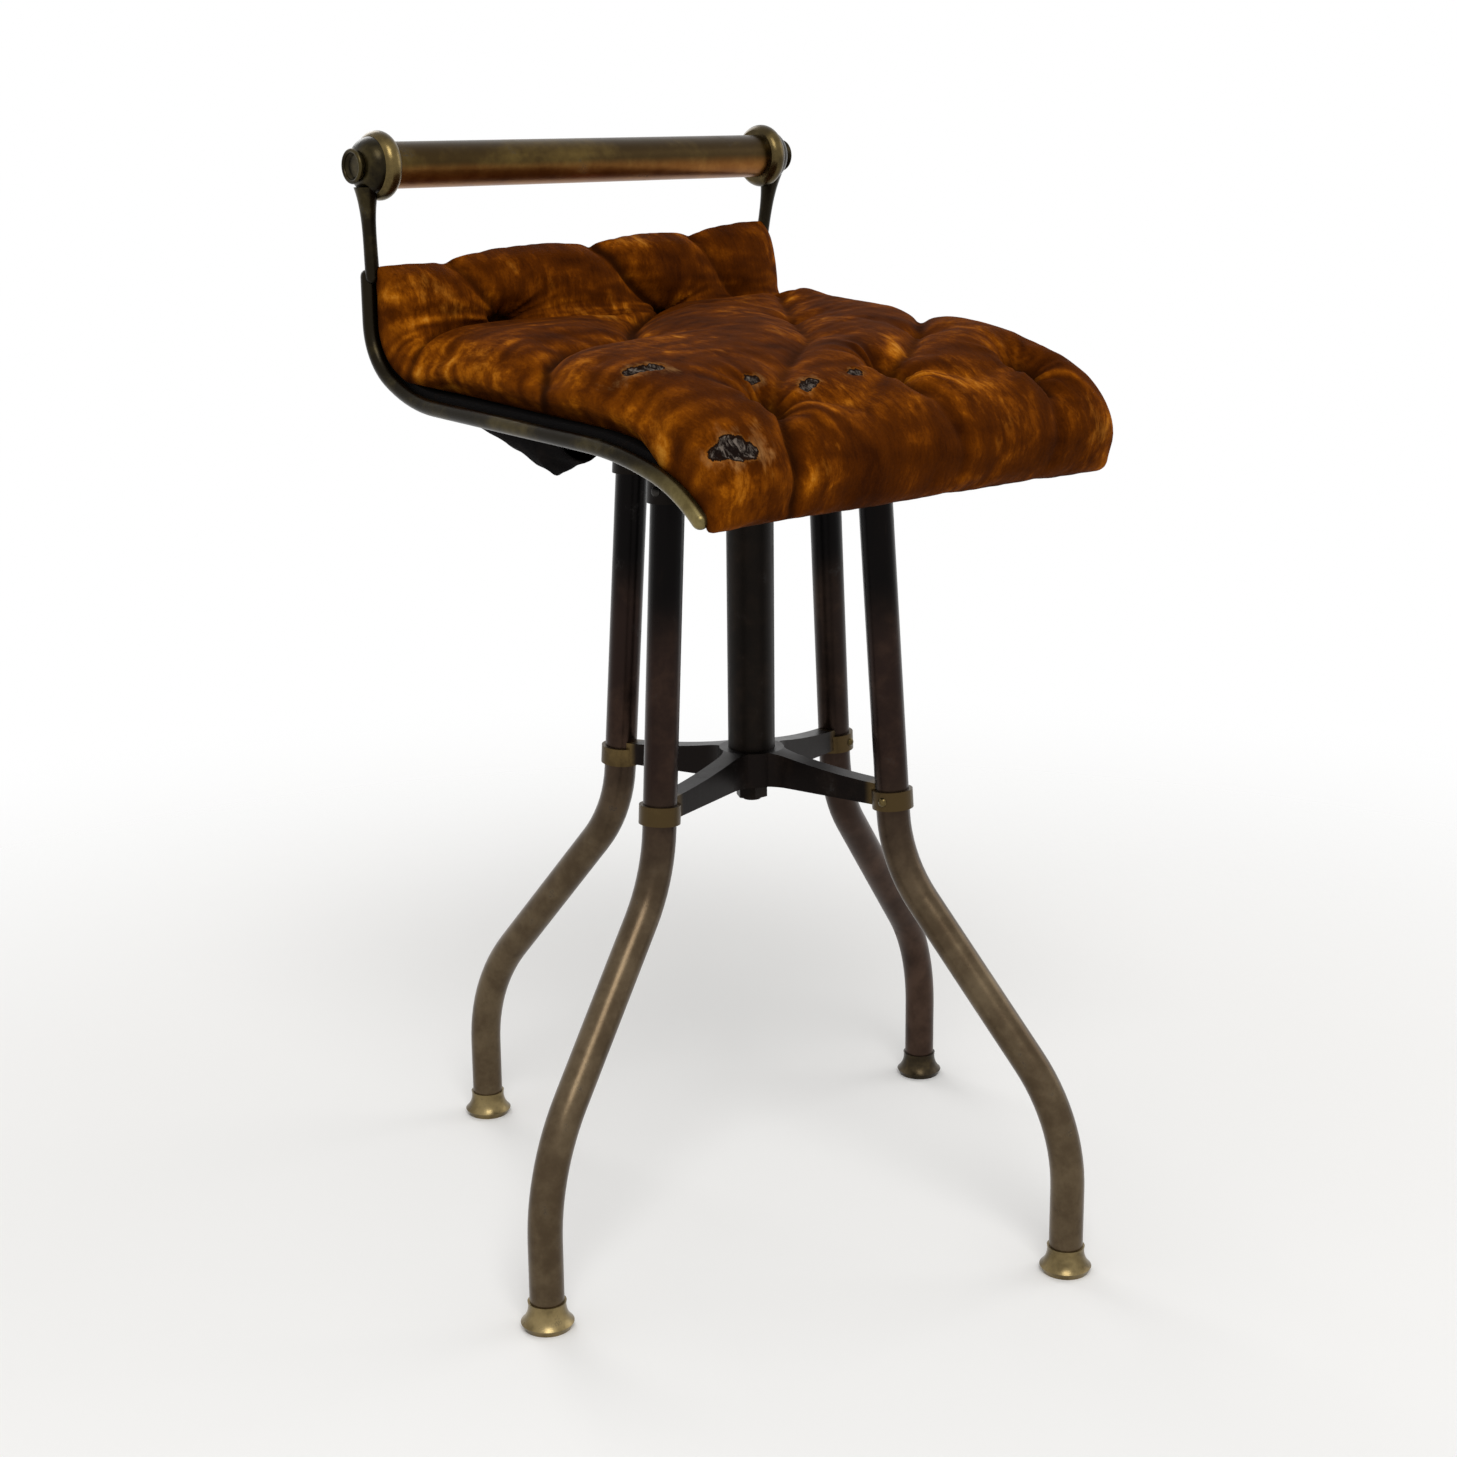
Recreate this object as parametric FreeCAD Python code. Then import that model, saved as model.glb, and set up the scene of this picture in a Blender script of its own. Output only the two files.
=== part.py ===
import FreeCAD, Part
import math
import os

# A brass revolving piano stool: four bent tube legs round a screw column, and a
# buttoned S-shaped seat with a handrail. All sizes are in millimetres. The origin
# is on the column's axis at the floor, +Z is up, and the seat faces -Y.

V = FreeCAD.Vector
UP = V(0, 0, 1)
ALONG_X = V(1, 0, 0)

# Legs and feet
LEG_D = 22.2              # outside diameter of the leg tube, seven eighths of an inch
LEG_WALL = 1.6
LEG_COUNT = 4
BASE_TURN = 15.0          # turn of the legs from the seat's own directions, degrees
LEG_LEAN = 4.1            # lean of the upper leg towards the column, degrees
FOOT_CIRCLE_R = 243.0     # column axis to the foot's axis
KNEE_R = 100.0            # bend under the stretcher, on the tube's axis
ANKLE_R = 130.0           # bend above the foot, on the tube's axis
SHIN_Z = 58.0             # height at which the ankle bend ends
KNEE_DROP = 4.0           # straight tube between the stretcher ring and the knee bend
FOOT_H = 18.0             # ferrule
FOOT_FLOOR = 5.0          # solid bottom of the ferrule, under the tube's end
FOOT_LIP_WALL = 1.2
FOOT_FLARE_R = 17.0
FOOT_FLARE_Z = 4.0
FOOT_BASE_R = 15.0

# Stretcher spider
RING_Z = 304.0            # height of the rings' centres
RING_R = 110.0            # column axis to the ring's centre
RING_H = 12.5
RING_WALL = 2.5
HUB_R = 22.0
HUB_TOP = 20.0            # above the rings' centres
HUB_BOTTOM = -3.5
ARM_TOP = 9.5             # top and bottom of the arm where it meets the ring
ARM_BOTTOM = -5.0
ARM_W = 13.0
ARM_WEB_R = 26.0          # fillet between two arms, seen from above
SOCKET_DEPTH = 8.0        # column tube let into the hub

# Column
COLUMN_D = 31.8           # an inch and a quarter
COLUMN_WALL = 1.8
PLUG_H = 16.0
STUD_D = 12.0
STUD_NUT_H = 9.0
STUD_NUT_AF = 19.0
STUD_WASHER_H = 2.0
STUD_WASHER_R = 14.0

# Crown casting at the leg tops
CROWN_Z = 505.0           # underside of the leg sockets
CROWN_H = 20.0
CROWN_WALL = 2.4          # wall of a leg socket
CROWN_ROOF = 4.0
CROWN_HUB_R = 25.0
CROWN_ARM_W = 14.0
CROWN_ARM_H = 12.0

# Pins that hold the legs in the stretcher and in the crown
PIN_D = 4.0
PIN_HEAD_R = 3.2
PIN_HEAD_H = 2.0

# Screw
THREAD_R = 10.0           # crest radius
THREAD_DEPTH = 2.2
THREAD_PITCH = 8.0
THREAD_LAND = 3.4         # width of the square thread at its crest
THREAD_GAP = 0.3          # play between the threads, radially and along the axis
NUT_LENGTH = 40.0
NUT_FLANGE_R = 21.0
NUT_FLANGE_H = 5.0
SPINDLE_CLEAR = 20.84     # between the screw's lower end and the column's plug, as drawn
GUIDE_LENGTH = 24.0
GUIDE_PIN_R = 7.0
END_STUD_R = 5.0
END_STUD_OVER = 2.0       # end stud past its nut
END_NUT_H = 8.0
END_NUT_AF = 17.0
END_WASHER_R = 11.5
END_WASHER_H = 2.0

# Seat plate under the board
PLATE_R = 50.0
PLATE_T = 6.0
PLATE_HUB_R = 19.0
PLATE_HUB_GAP = 6.0       # between the nut's flange and the plate's hub, as drawn
SPINDLE_TOP_R = 9.0
SPINDLE_PIN_D = 5.0
PLATE_SCREW_R = 38.0
PLATE_SCREWS = 4

# Seat line: the side rail's centre line, from the back's top to the front tip
SEAT_OVER_CROWN = 48.2    # line over the column's axis, above the crown's underside
SEAT_SLOPE = 3.0          # fall of the flat part towards the front, degrees
SEAT_BACK_Y = 181.5       # the upright part at the back
SEAT_BACK_RISE = 86.8     # top of the upright part, above the line over the column's axis
BACK_BEND_R = 42.0
BACK_BEND_TURN = 60.0
BACK_EASE_R = 110.0
FRONT_FLAT_Y = 43.5       # the flat part ends this far in front of the column
FRONT_EASE_R = 260.0
FRONT_EASE_TURN = 14.0
FRONT_BEND_R = 110.0
FRONT_BEND_TURN = 25.0

# Side rails
RAIL_X = 172.0            # middle of the seat to the rail's centre line
RAIL_SECTION_R = 5.2
RAIL_FLAT = 3.0           # flat inner face, from the rail's centre line
LUG_REACH = 20.0
LUG_T = 3.5
LUG_W = 16.0
LUG_TOP = 18.0            # upper lug, behind the back, from the rail's top
LUG_REAR = 14.0           # rear lug, behind the start of the flat part
LUG_FRONT = 142.0         # front lug, in front of the start of the flat part

# Handrail
HAND_Y = 170.0
HAND_RISE = 71.0          # handrail's axis above the top of the upright part
HAND_D = 30.0
HAND_WALL = 1.6
BOSS_R = 18.5             # dome, where it meets the collar
BOSS_INNER_X = 164.0      # face of the boss that the tube butts against
BOSS_DOME_X = 174.5       # where the dome starts
BOSS_OUTER_X = 184.0
BOSS_END_R = 10.0
COLLAR_R = 22.2
COLLAR_W = 12.5           # rolled collar over the joint of tube and boss, against the dome
CUP_R = 11.3              # cupped nut on the end of the tie rod
CUP_FOOT_R = 9.0
CUP_L = 5.5
CUP_HOLE_R = 8.2
CUP_DEPTH = 3.2
ROD_D = 8.0
NECK_R = 4.6
NECK_TOP_R = 8.2
NECK_TOP_X = 178.0
NECK_FRONT = 5.0          # the neck stands this far in front of the rail's centre line

# Seat board
BOARD_T = 8.0
BOARD_EDGE_GAP = 1.0      # between the board's edge and the rail's flat face
BOARD_TOP_GAP = 4.0       # the board stops short of the rail's top
BOARD_TIP_GAP = 8.0       # and short of its front tip
SCREW_D = 4.0
SCREW_HEAD_R = 3.8
SCREW_HEAD_H = 2.2
SCREW_BITE = 6.0          # length of a screw in the board

# Pad
PAD_GAP = 0.3             # clear of the board
PAD_SIDE_GAP = 1.0        # clear of the rail's flat face
PAD_CREST = 55.0          # over the seat line, in the middle
PAD_BACK_CREST = 44.0     # and at the back
PAD_LEAN = 5.5            # worn lower by this on the left side, and higher on the right
PAD_LOW = 3.0             # underside past the board's ends
PAD_DRAW_IN = 5.0         # how far the side is drawn in at its bottom
PAD_LIP = 13.0            # the pad stands this far above the rail's top
PAD_NOSE = 6.0            # and this far past the front tip
PAD_FAN = 90.0            # length of the seat line that a section's direction is averaged over
BACK_ROLL = 34.0          # roundings of the top towards the back, the front and the sides
FRONT_ROLL = 36.0
SIDE_ROLL = 28.0
TUFT_DEPTH = 27.0
TUFT_W = 30.0
PUCKER_DEPTH = 13.0
CREASE_W = 28.0

# Lining under the board, sagging on both sides
LINING_T = 1.0
LINING_REACH = 44.0
LINING_FROM = 8.0         # places in front of the start of the flat part
LINING_DEEP = 84.0
LINING_TO = 120.0
LINING_SAG_BACK = 4.0
LINING_SAG_DEEP = 26.0
LINING_SAG_FRONT = 16.0

# Clearances
FIT = 0.05                # between parts that are fixed together
RUN = 0.08                # between parts that turn or slide in each other

leg_r = LEG_D / 2
column_r = COLUMN_D / 2
bore_r = column_r - COLUMN_WALL
lean = math.radians(LEG_LEAN)
hub_floor = RING_Z + HUB_TOP - SOCKET_DEPTH
crown_top = CROWN_Z + CROWN_H
nut_top = crown_top + NUT_FLANGE_H
plate_hub_bottom = nut_top + PLATE_HUB_GAP
thread_core_r = THREAD_R - THREAD_DEPTH
slope = math.radians(SEAT_SLOPE)
SEAT_Z = CROWN_Z + SEAT_OVER_CROWN
SEAT_BACK_TOP = SEAT_Z + SEAT_BACK_RISE
HAND_Z = SEAT_BACK_TOP + HAND_RISE


def polar(r, degrees, z=0.0):
    """A point at radius r and at an angle round the column's axis."""
    a = math.radians(degrees)
    return V(r * math.cos(a), r * math.sin(a), z)


def cylinder(r, start, direction, length):
    return Part.makeCylinder(r, length, start, direction)


def tube(r, wall, start, direction, length):
    return cylinder(r, start, direction, length).cut(cylinder(r - wall, start, direction, length))


def hexagon(across_flats, z0, height):
    r = across_flats / math.sqrt(3)
    corners = [polar(r, 60 * k, z0) for k in range(7)]
    return Part.Face(Part.makePolygon(corners)).extrude(V(0, 0, height))


def dome(r, height, start, direction):
    """A shallow round head: a slice of a sphere on a flat base."""
    ball_r = (r * r + height * height) / (2 * height)
    centre = start + direction * (height - ball_r)
    ball = Part.makeSphere(ball_r, centre)
    return ball.common(cylinder(r + 1, start, direction, height + 1))


def turned(profile, axis_point=V(0, 0, 0), axis=UP):
    """A solid turned from a closed list of edges."""
    return Part.Face(Part.Wire(profile)).revolve(axis_point, axis, 360)


def line(a, b):
    return Part.LineSegment(a, b).toShape()


def arc(a, middle, b):
    return Part.Arc(a, middle, b).toShape()


def closed_lines(points):
    ring = points + [points[0]]
    return [line(a, b) for a, b in zip(ring, ring[1:])]


def save(name, shape):
    shape.exportStep("parts/" + name + ".step")


# The seat line as spans of (kind, length or radius, turn in degrees): a left turn is
# positive, and the line starts at the back's top, heading down.
ease_turn = 90 - BACK_BEND_TURN - SEAT_SLOPE
bend_end = math.radians(90 - BACK_BEND_TURN)
flat_back_y = SEAT_BACK_Y - BACK_BEND_R * (1 - math.sin(bend_end)) \
    - BACK_EASE_R * (math.sin(bend_end) - math.sin(slope))
flat_back_z = SEAT_Z + flat_back_y * math.tan(slope)
bend_top_z = flat_back_z + BACK_EASE_R * (math.cos(slope) - math.cos(bend_end)) \
    + BACK_BEND_R * math.cos(bend_end)
SPANS = [
    ("line", SEAT_BACK_TOP - bend_top_z, 0),
    ("arc", BACK_BEND_R, BACK_BEND_TURN),
    ("arc", BACK_EASE_R, ease_turn),
    ("line", (flat_back_y + FRONT_FLAT_Y) / math.cos(slope), 0),
    ("arc", FRONT_EASE_R, -FRONT_EASE_TURN),
    ("arc", FRONT_BEND_R, -FRONT_BEND_TURN),
]


def span_length(span):
    kind, size, turn = span
    return size if kind == "line" else size * math.radians(abs(turn))


SEAT_LENGTH = sum(span_length(span) for span in SPANS)
FLAT_START = sum(span_length(span) for span in SPANS[:3])


def step_along(point, heading, span, length, offset=0.0):
    """Moves a length along a span; a line that is offset to the left keeps its angles."""
    kind, size, turn = span
    if kind == "line":
        return (point[0] + length * math.cos(heading), point[1] + length * math.sin(heading)), heading
    side = 1 if turn > 0 else -1
    r = size - side * offset
    new = heading + side * length / size
    return (point[0] + side * r * (math.sin(new) - math.sin(heading)),
            point[1] - side * r * (math.cos(new) - math.cos(heading))), new


def seat_point(s, offset=0.0):
    """The point at a length s from the back's top, raised by an offset, and its heading."""
    point = (-SEAT_BACK_Y + offset, SEAT_BACK_TOP)
    heading = -math.pi / 2
    for span in SPANS:
        length = min(s, span_length(span))
        if span is SPANS[-1]:
            length = s
        point, heading = step_along(point, heading, span, length, offset)
        s -= length
        if s <= 0:
            break
    return point, heading


def s_at_y(y):
    """Length along the seat line of a place on its flat part."""
    return FLAT_START + (flat_back_y - y) / math.cos(slope)


def seat_edges(x, s0, s1, offset):
    """Edges of the offset seat line between two lengths, in the plane at x."""
    edges = []
    begin = 0.0
    for span in SPANS:
        end = begin + span_length(span)
        a, b = max(s0, begin), min(s1, end)
        if b - a > 1e-6:
            places = [seat_point(s, offset)[0] for s in (a, (a + b) / 2, b)]
            p, m, q = [V(x, -u, z) for u, z in places]
            edges.append(line(p, q) if span[0] == "line" else arc(p, m, q))
        begin = end
    return edges


def seat_strip(x0, x1, s0, s1, low, high):
    """A strip of the seat line's shape between two offsets, from x0 to x1."""
    bottom = seat_edges(x0, s0, s1, low)
    top = seat_edges(x0, s0, s1, high)
    ends = [line(a, b) for a, b in (
        (bottom[0].valueAt(bottom[0].FirstParameter), top[0].valueAt(top[0].FirstParameter)),
        (bottom[-1].valueAt(bottom[-1].LastParameter), top[-1].valueAt(top[-1].LastParameter)))]
    profile = Part.Wire(Part.__sortEdges__(bottom + top + ends))
    return Part.Face(profile).extrude(V(x1 - x0, 0, 0))


def seat_normal(s):
    """The direction square to the seat line, towards the sitter."""
    heading = seat_point(s)[1]
    return V(0, math.sin(heading), math.cos(heading))


def seat_place(x, s, offset=0.0):
    u, z = seat_point(s, offset)[0]
    return V(x, -u, z)


# Legs
def leg_line_r(z):
    """Radius of the upper leg's axis at a height."""
    return RING_R + (RING_Z - z) * math.tan(lean)


knee_z = RING_Z - RING_H / 2 - KNEE_DROP
leg_top_z = crown_top - CROWN_ROOF


def leg_path():
    """The tube's axis in the plane of radius (as X) and height."""
    start = (leg_line_r(leg_top_z), leg_top_z)
    knee = (leg_line_r(knee_z), knee_z)
    knee_r, ankle_r = KNEE_R, ANKLE_R
    room = math.hypot(FOOT_CIRCLE_R - knee[0], knee_z - SHIN_Z) * 0.95
    shrink = min(1.0, room / (knee_r + ankle_r))
    knee_r, ankle_r = knee_r * shrink, ankle_r * shrink
    c1 = (knee[0] + knee_r * math.cos(lean), knee[1] + knee_r * math.sin(lean))
    c2 = (FOOT_CIRCLE_R - ankle_r, SHIN_Z)
    vr, vz = c2[0] - c1[0], c2[1] - c1[1]
    both = knee_r + ankle_r
    square = vr * vr + vz * vz
    straight = math.sqrt(square - both * both)
    tilt = math.atan2(straight * vr - both * vz, -straight * vz - both * vr)

    def on(centre, r, angle):
        return V(centre[0] + r * math.cos(angle), 0, centre[1] + r * math.sin(angle))

    knee_end = on(c1, -knee_r, tilt)
    ankle_start = on(c2, ankle_r, tilt)
    edges = [
        line(V(start[0], 0, start[1]), V(knee[0], 0, knee[1])),
        arc(V(knee[0], 0, knee[1]), on(c1, -knee_r, (lean + tilt) / 2), knee_end),
        line(knee_end, ankle_start),
        arc(ankle_start, on(c2, ankle_r, tilt / 2), V(FOOT_CIRCLE_R, 0, SHIN_Z)),
        line(V(FOOT_CIRCLE_R, 0, SHIN_Z), V(FOOT_CIRCLE_R, 0, FOOT_FLOOR)),
    ]
    return Part.Wire(edges)


leg_axis = V(-math.sin(lean), 0, math.cos(lean))


def ring_centre(z=RING_Z):
    return V(leg_line_r(z), 0, z)


def swept(path, r):
    start = path.Edges[0].valueAt(path.Edges[0].FirstParameter)
    circle = Part.Wire(Part.makeCircle(r, start, leg_axis))
    return path.makePipeShell([circle], True, False)


def make_leg():
    path = leg_path()
    body = swept(path, leg_r).cut(swept(path, leg_r - LEG_WALL))
    for at, direction in ((ring_centre(), V(0, -1, 0)), (crown_pin_place(), ALONG_X)):
        body = body.cut(cylinder(PIN_D / 2 + FIT, at, direction, LEG_D))
    return body


def make_foot():
    """Flared ferrule round the tube's end, with a solid bottom."""
    lip_r = leg_r + FIT + FOOT_LIP_WALL
    waist = V(lip_r + 0.4, 0, FOOT_H * 0.6)
    profile = [
        line(V(0, 0, 0), V(FOOT_BASE_R, 0, 0)),
        line(V(FOOT_BASE_R, 0, 0), V(FOOT_FLARE_R, 0, FOOT_FLARE_Z)),
        arc(V(FOOT_FLARE_R, 0, FOOT_FLARE_Z), waist, V(lip_r, 0, FOOT_H)),
        line(V(lip_r, 0, FOOT_H), V(leg_r + FIT, 0, FOOT_H)),
        line(V(leg_r + FIT, 0, FOOT_H), V(leg_r + FIT, 0, FOOT_FLOOR)),
        line(V(leg_r + FIT, 0, FOOT_FLOOR), V(0, 0, FOOT_FLOOR)),
        line(V(0, 0, FOOT_FLOOR), V(0, 0, 0)),
    ]
    foot = turned(profile)
    foot.translate(V(FOOT_CIRCLE_R, 0, 0))
    return foot


def make_pin(at, direction, outer):
    """A round-headed pin from the tube's bore out past the wall that it holds."""
    inner = leg_r - LEG_WALL
    shank = cylinder(PIN_D / 2, at + direction * inner, direction, outer - inner)
    return shank.fuse(dome(PIN_HEAD_R, PIN_HEAD_H, at + direction * outer, direction))


# Stretcher spider
def make_spider():
    half = ARM_W / 2
    reach = RING_R
    step = half + ARM_WEB_R
    corner = ARM_WEB_R * (1 - math.sqrt(0.5)) + half
    outline = []
    for k in range(LEG_COUNT):
        turn = FreeCAD.Rotation(UP, 90 * k)
        a, b, c, d, e, f = [turn.multVec(p) for p in (
            V(reach, -half, 0), V(reach, half, 0), V(step, half, 0),
            V(corner, corner, 0), V(half, step, 0), V(half, reach, 0))]
        outline += [line(a, b), line(b, c), arc(c, d, e), line(e, f)]
    low, high = RING_Z - RING_H, RING_Z + HUB_TOP + RING_H
    star = Part.Face(Part.Wire(outline)).extrude(V(0, 0, high - low))
    star.translate(V(0, 0, low))
    top, bottom = RING_Z + HUB_TOP, RING_Z + HUB_BOTTOM
    sag = V((HUB_R + RING_R) / 2, 0, RING_Z + (HUB_TOP + ARM_TOP) / 2 - 2)
    side = turned([
        line(V(0, 0, bottom), V(0, 0, top)),
        line(V(0, 0, top), V(HUB_R, 0, top)),
        arc(V(HUB_R, 0, top), sag, V(RING_R, 0, RING_Z + ARM_TOP)),
        line(V(RING_R, 0, RING_Z + ARM_TOP), V(RING_R, 0, RING_Z + ARM_BOTTOM)),
        line(V(RING_R, 0, RING_Z + ARM_BOTTOM), V(HUB_R, 0, bottom)),
        line(V(HUB_R, 0, bottom), V(0, 0, bottom)),
    ])
    spider = star.common(side)
    spider = spider.fuse(cylinder(HUB_R, V(0, 0, bottom), UP, top - bottom))
    ring_r = leg_r + FIT + RING_WALL
    for k in range(LEG_COUNT):
        spin = 90 * k
        start = ring_centre() - leg_axis * (RING_H / 2)
        ring = cylinder(ring_r, start, leg_axis, RING_H)
        ring.rotate(V(0, 0, 0), UP, spin)
        spider = spider.fuse(ring)
    for k in range(LEG_COUNT):
        bore = cylinder(leg_r + FIT, ring_centre() - leg_axis * 3 * RING_H, leg_axis, 6 * RING_H)
        hole = cylinder(PIN_D / 2 + FIT, ring_centre(), V(0, -1, 0), LEG_D)
        for cutter in (bore, hole):
            cutter.rotate(V(0, 0, 0), UP, 90 * k)
            spider = spider.cut(cutter)
    spider = spider.cut(cylinder(column_r + FIT, V(0, 0, hub_floor), UP, SOCKET_DEPTH + 1))
    return spider.cut(cylinder(STUD_D / 2 + FIT, V(0, 0, bottom - 1), UP, hub_floor - bottom + 2))


# Column
stud_end_z = RING_Z + HUB_BOTTOM - STUD_WASHER_H - STUD_NUT_H - 2


def make_column():
    return tube(column_r, COLUMN_WALL, V(0, 0, hub_floor), UP, crown_top - hub_floor)


def make_plug():
    plug = cylinder(bore_r - FIT, V(0, 0, hub_floor), UP, PLUG_H)
    return plug.fuse(cylinder(STUD_D / 2, V(0, 0, stud_end_z), UP, hub_floor - stud_end_z + 1))


def make_stud_nut():
    """Nut and washer under the hub, on the plug's stud."""
    washer_z = RING_Z + HUB_BOTTOM - STUD_WASHER_H
    nut = hexagon(STUD_NUT_AF, washer_z - STUD_NUT_H, STUD_NUT_H)
    nut = nut.fuse(cylinder(STUD_WASHER_R, V(0, 0, washer_z), UP, STUD_WASHER_H))
    return nut.cut(cylinder(STUD_D / 2 + FIT, V(0, 0, stud_end_z - 1), UP, hub_floor - stud_end_z + 1))


# Crown
def crown_pin_place():
    return ring_centre(CROWN_Z + CROWN_H * 0.4)


def make_crown():
    socket_r = leg_r + FIT + CROWN_WALL
    crown = cylinder(CROWN_HUB_R, V(0, 0, CROWN_Z), UP, CROWN_H)
    mouth = ring_centre(CROWN_Z)
    arm_z = crown_top - CROWN_ARM_H
    for k in range(LEG_COUNT):
        arm = Part.makeBox(leg_line_r(crown_top), CROWN_ARM_W, CROWN_ARM_H, V(0, -CROWN_ARM_W / 2, arm_z))
        boss = cylinder(socket_r, mouth - leg_axis * CROWN_H, leg_axis, 3 * CROWN_H)
        boss = boss.common(Part.makeBox(4 * RING_R, 4 * RING_R, CROWN_H, V(-2 * RING_R, -2 * RING_R, CROWN_Z)))
        for solid in (arm, boss):
            solid.rotate(V(0, 0, 0), UP, 90 * k)
            crown = crown.fuse(solid)
    for k in range(LEG_COUNT):
        bore = cylinder(leg_r + FIT, ring_centre(leg_top_z) + leg_axis * FIT, leg_axis * -1, 2 * CROWN_H)
        hole = cylinder(PIN_D / 2 + FIT, crown_pin_place(), ALONG_X, LEG_D)
        for cutter in (bore, hole):
            cutter.rotate(V(0, 0, 0), UP, 90 * k)
            crown = crown.cut(cutter)
    return crown.cut(cylinder(column_r + FIT, V(0, 0, CROWN_Z - 1), UP, CROWN_H + 2))


# Screw
end_stud_h = END_WASHER_H + END_NUT_H + END_STUD_OVER
thread_low = hub_floor + PLUG_H + SPINDLE_CLEAR + end_stud_h + GUIDE_LENGTH + 2 * RUN
thread_high = plate_hub_bottom - 1.0


def helix_ridge(root_r, crest_r, land, z0, z1):
    """The thread's ridge: a square section swept along a helix."""
    height = z1 - z0
    path = Part.Wire(Part.makeHelix(THREAD_PITCH, height, crest_r).Edges)
    corners = [V(root_r, 0, -land / 2), V(crest_r, 0, -land / 2), V(crest_r, 0, land / 2), V(root_r, 0, land / 2)]
    section = Part.Wire(closed_lines(corners))
    ridge = path.makePipeShell([section], True, True)
    ridge.translate(V(0, 0, z0))
    return ridge


def make_spindle():
    core = cylinder(thread_core_r, V(0, 0, thread_low), UP, thread_high - thread_low)
    ridge = helix_ridge(thread_core_r - 0.4, THREAD_R, THREAD_LAND, thread_low + THREAD_LAND, thread_high - THREAD_LAND)
    screw = core.fuse(ridge)
    pin_z = thread_low - GUIDE_LENGTH - 2 * RUN
    screw = screw.fuse(cylinder(GUIDE_PIN_R, V(0, 0, pin_z), UP, thread_low - pin_z))
    screw = screw.fuse(cylinder(END_STUD_R, V(0, 0, pin_z - end_stud_h), UP, end_stud_h))
    top = seat_place(0, s_at_y(0)).z - PLATE_T / 2
    screw = screw.fuse(cylinder(SPINDLE_TOP_R, V(0, 0, thread_high), UP, top - thread_high))
    return screw.cut(cylinder(SPINDLE_PIN_D / 2 + FIT, spindle_pin_start(), ALONG_X, 2 * PLATE_HUB_R))


def spindle_pin_start():
    return V(-PLATE_HUB_R, 0, plate_hub_bottom + SPINDLE_PIN_D)


def make_nut():
    nut = cylinder(bore_r - FIT, V(0, 0, crown_top - NUT_LENGTH), UP, NUT_LENGTH)
    nut = nut.fuse(cylinder(NUT_FLANGE_R, V(0, 0, crown_top), UP, NUT_FLANGE_H))
    low, high = crown_top - NUT_LENGTH, nut_top
    turns = math.floor((low - thread_low - THREAD_LAND) / THREAD_PITCH) - 1
    begin = thread_low + THREAD_LAND + turns * THREAD_PITCH
    groove = helix_ridge(thread_core_r - 0.4, THREAD_R + THREAD_GAP, THREAD_LAND + 2 * THREAD_GAP, begin,
                         high + THREAD_PITCH)
    bore = cylinder(thread_core_r + THREAD_GAP, V(0, 0, low - 1), UP, high - low + 2)
    return nut.cut(groove).cut(bore)


def make_guide():
    start = V(0, 0, thread_low - GUIDE_LENGTH - RUN)
    return tube(bore_r - RUN, bore_r - GUIDE_PIN_R - 2 * RUN, start, UP, GUIDE_LENGTH)


def make_end_washer():
    z = thread_low - GUIDE_LENGTH - 2 * RUN - END_WASHER_H
    return tube(END_WASHER_R, END_WASHER_R - END_STUD_R - FIT, V(0, 0, z), UP, END_WASHER_H)


def make_end_nut():
    z = thread_low - GUIDE_LENGTH - 2 * RUN - END_WASHER_H - END_NUT_H
    return hexagon(END_NUT_AF, z, END_NUT_H).cut(cylinder(END_STUD_R + FIT, V(0, 0, z - 1), UP, END_NUT_H + 2))


# Screws in the board, square to the seat line
def make_screw(x, s, depth):
    """A round-headed screw: its head lies under a piece of the given depth."""
    up = seat_normal(s)
    under = seat_place(x, s, -depth)
    shank = cylinder(SCREW_D / 2, under, up, depth + SCREW_BITE)
    return shank.fuse(dome(SCREW_HEAD_R, SCREW_HEAD_H, under, up * -1))


def screw_hole(x, s, depth):
    return cylinder(SCREW_D / 2 + FIT, seat_place(x, s, -depth - 1), seat_normal(s), depth + SCREW_BITE + 1)


lug_x = RAIL_X - RAIL_FLAT - LUG_REACH / 2
lug_places = (LUG_TOP, FLAT_START - LUG_REAR, FLAT_START + LUG_FRONT)
lug_screws = [(side * lug_x, s) for side in (-1, 1) for s in lug_places]
plate_screws = []
for k in range(PLATE_SCREWS):
    spot = polar(PLATE_SCREW_R, 360 / PLATE_SCREWS * (k + 0.5))
    plate_screws.append((spot.x, s_at_y(spot.y)))


# Seat plate
def make_plate():
    width = 3 * PLATE_R
    slab = Part.makeBox(width, width, PLATE_T, V(-width / 2, -width / 2, -PLATE_T))
    slab.rotate(V(0, 0, 0), ALONG_X, SEAT_SLOPE)
    slab.translate(V(0, 0, SEAT_Z))
    hub_h = SEAT_Z - PLATE_T / 2 - plate_hub_bottom
    plate = slab.common(cylinder(PLATE_R, V(0, 0, plate_hub_bottom), UP, 10 * PLATE_T))
    plate = plate.fuse(cylinder(PLATE_HUB_R, V(0, 0, plate_hub_bottom), UP, hub_h))
    plate = plate.cut(seat_strip(-width, width, 0, SEAT_LENGTH, 0, BOARD_T))
    plate = plate.cut(cylinder(SPINDLE_TOP_R + FIT, V(0, 0, plate_hub_bottom - 1), UP, hub_h + 1))
    plate = plate.cut(cylinder(SPINDLE_PIN_D / 2 + FIT, spindle_pin_start(), ALONG_X, 2 * PLATE_HUB_R))
    for x, s in plate_screws:
        plate = plate.cut(screw_hole(x, s, PLATE_T))
    return plate


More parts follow.
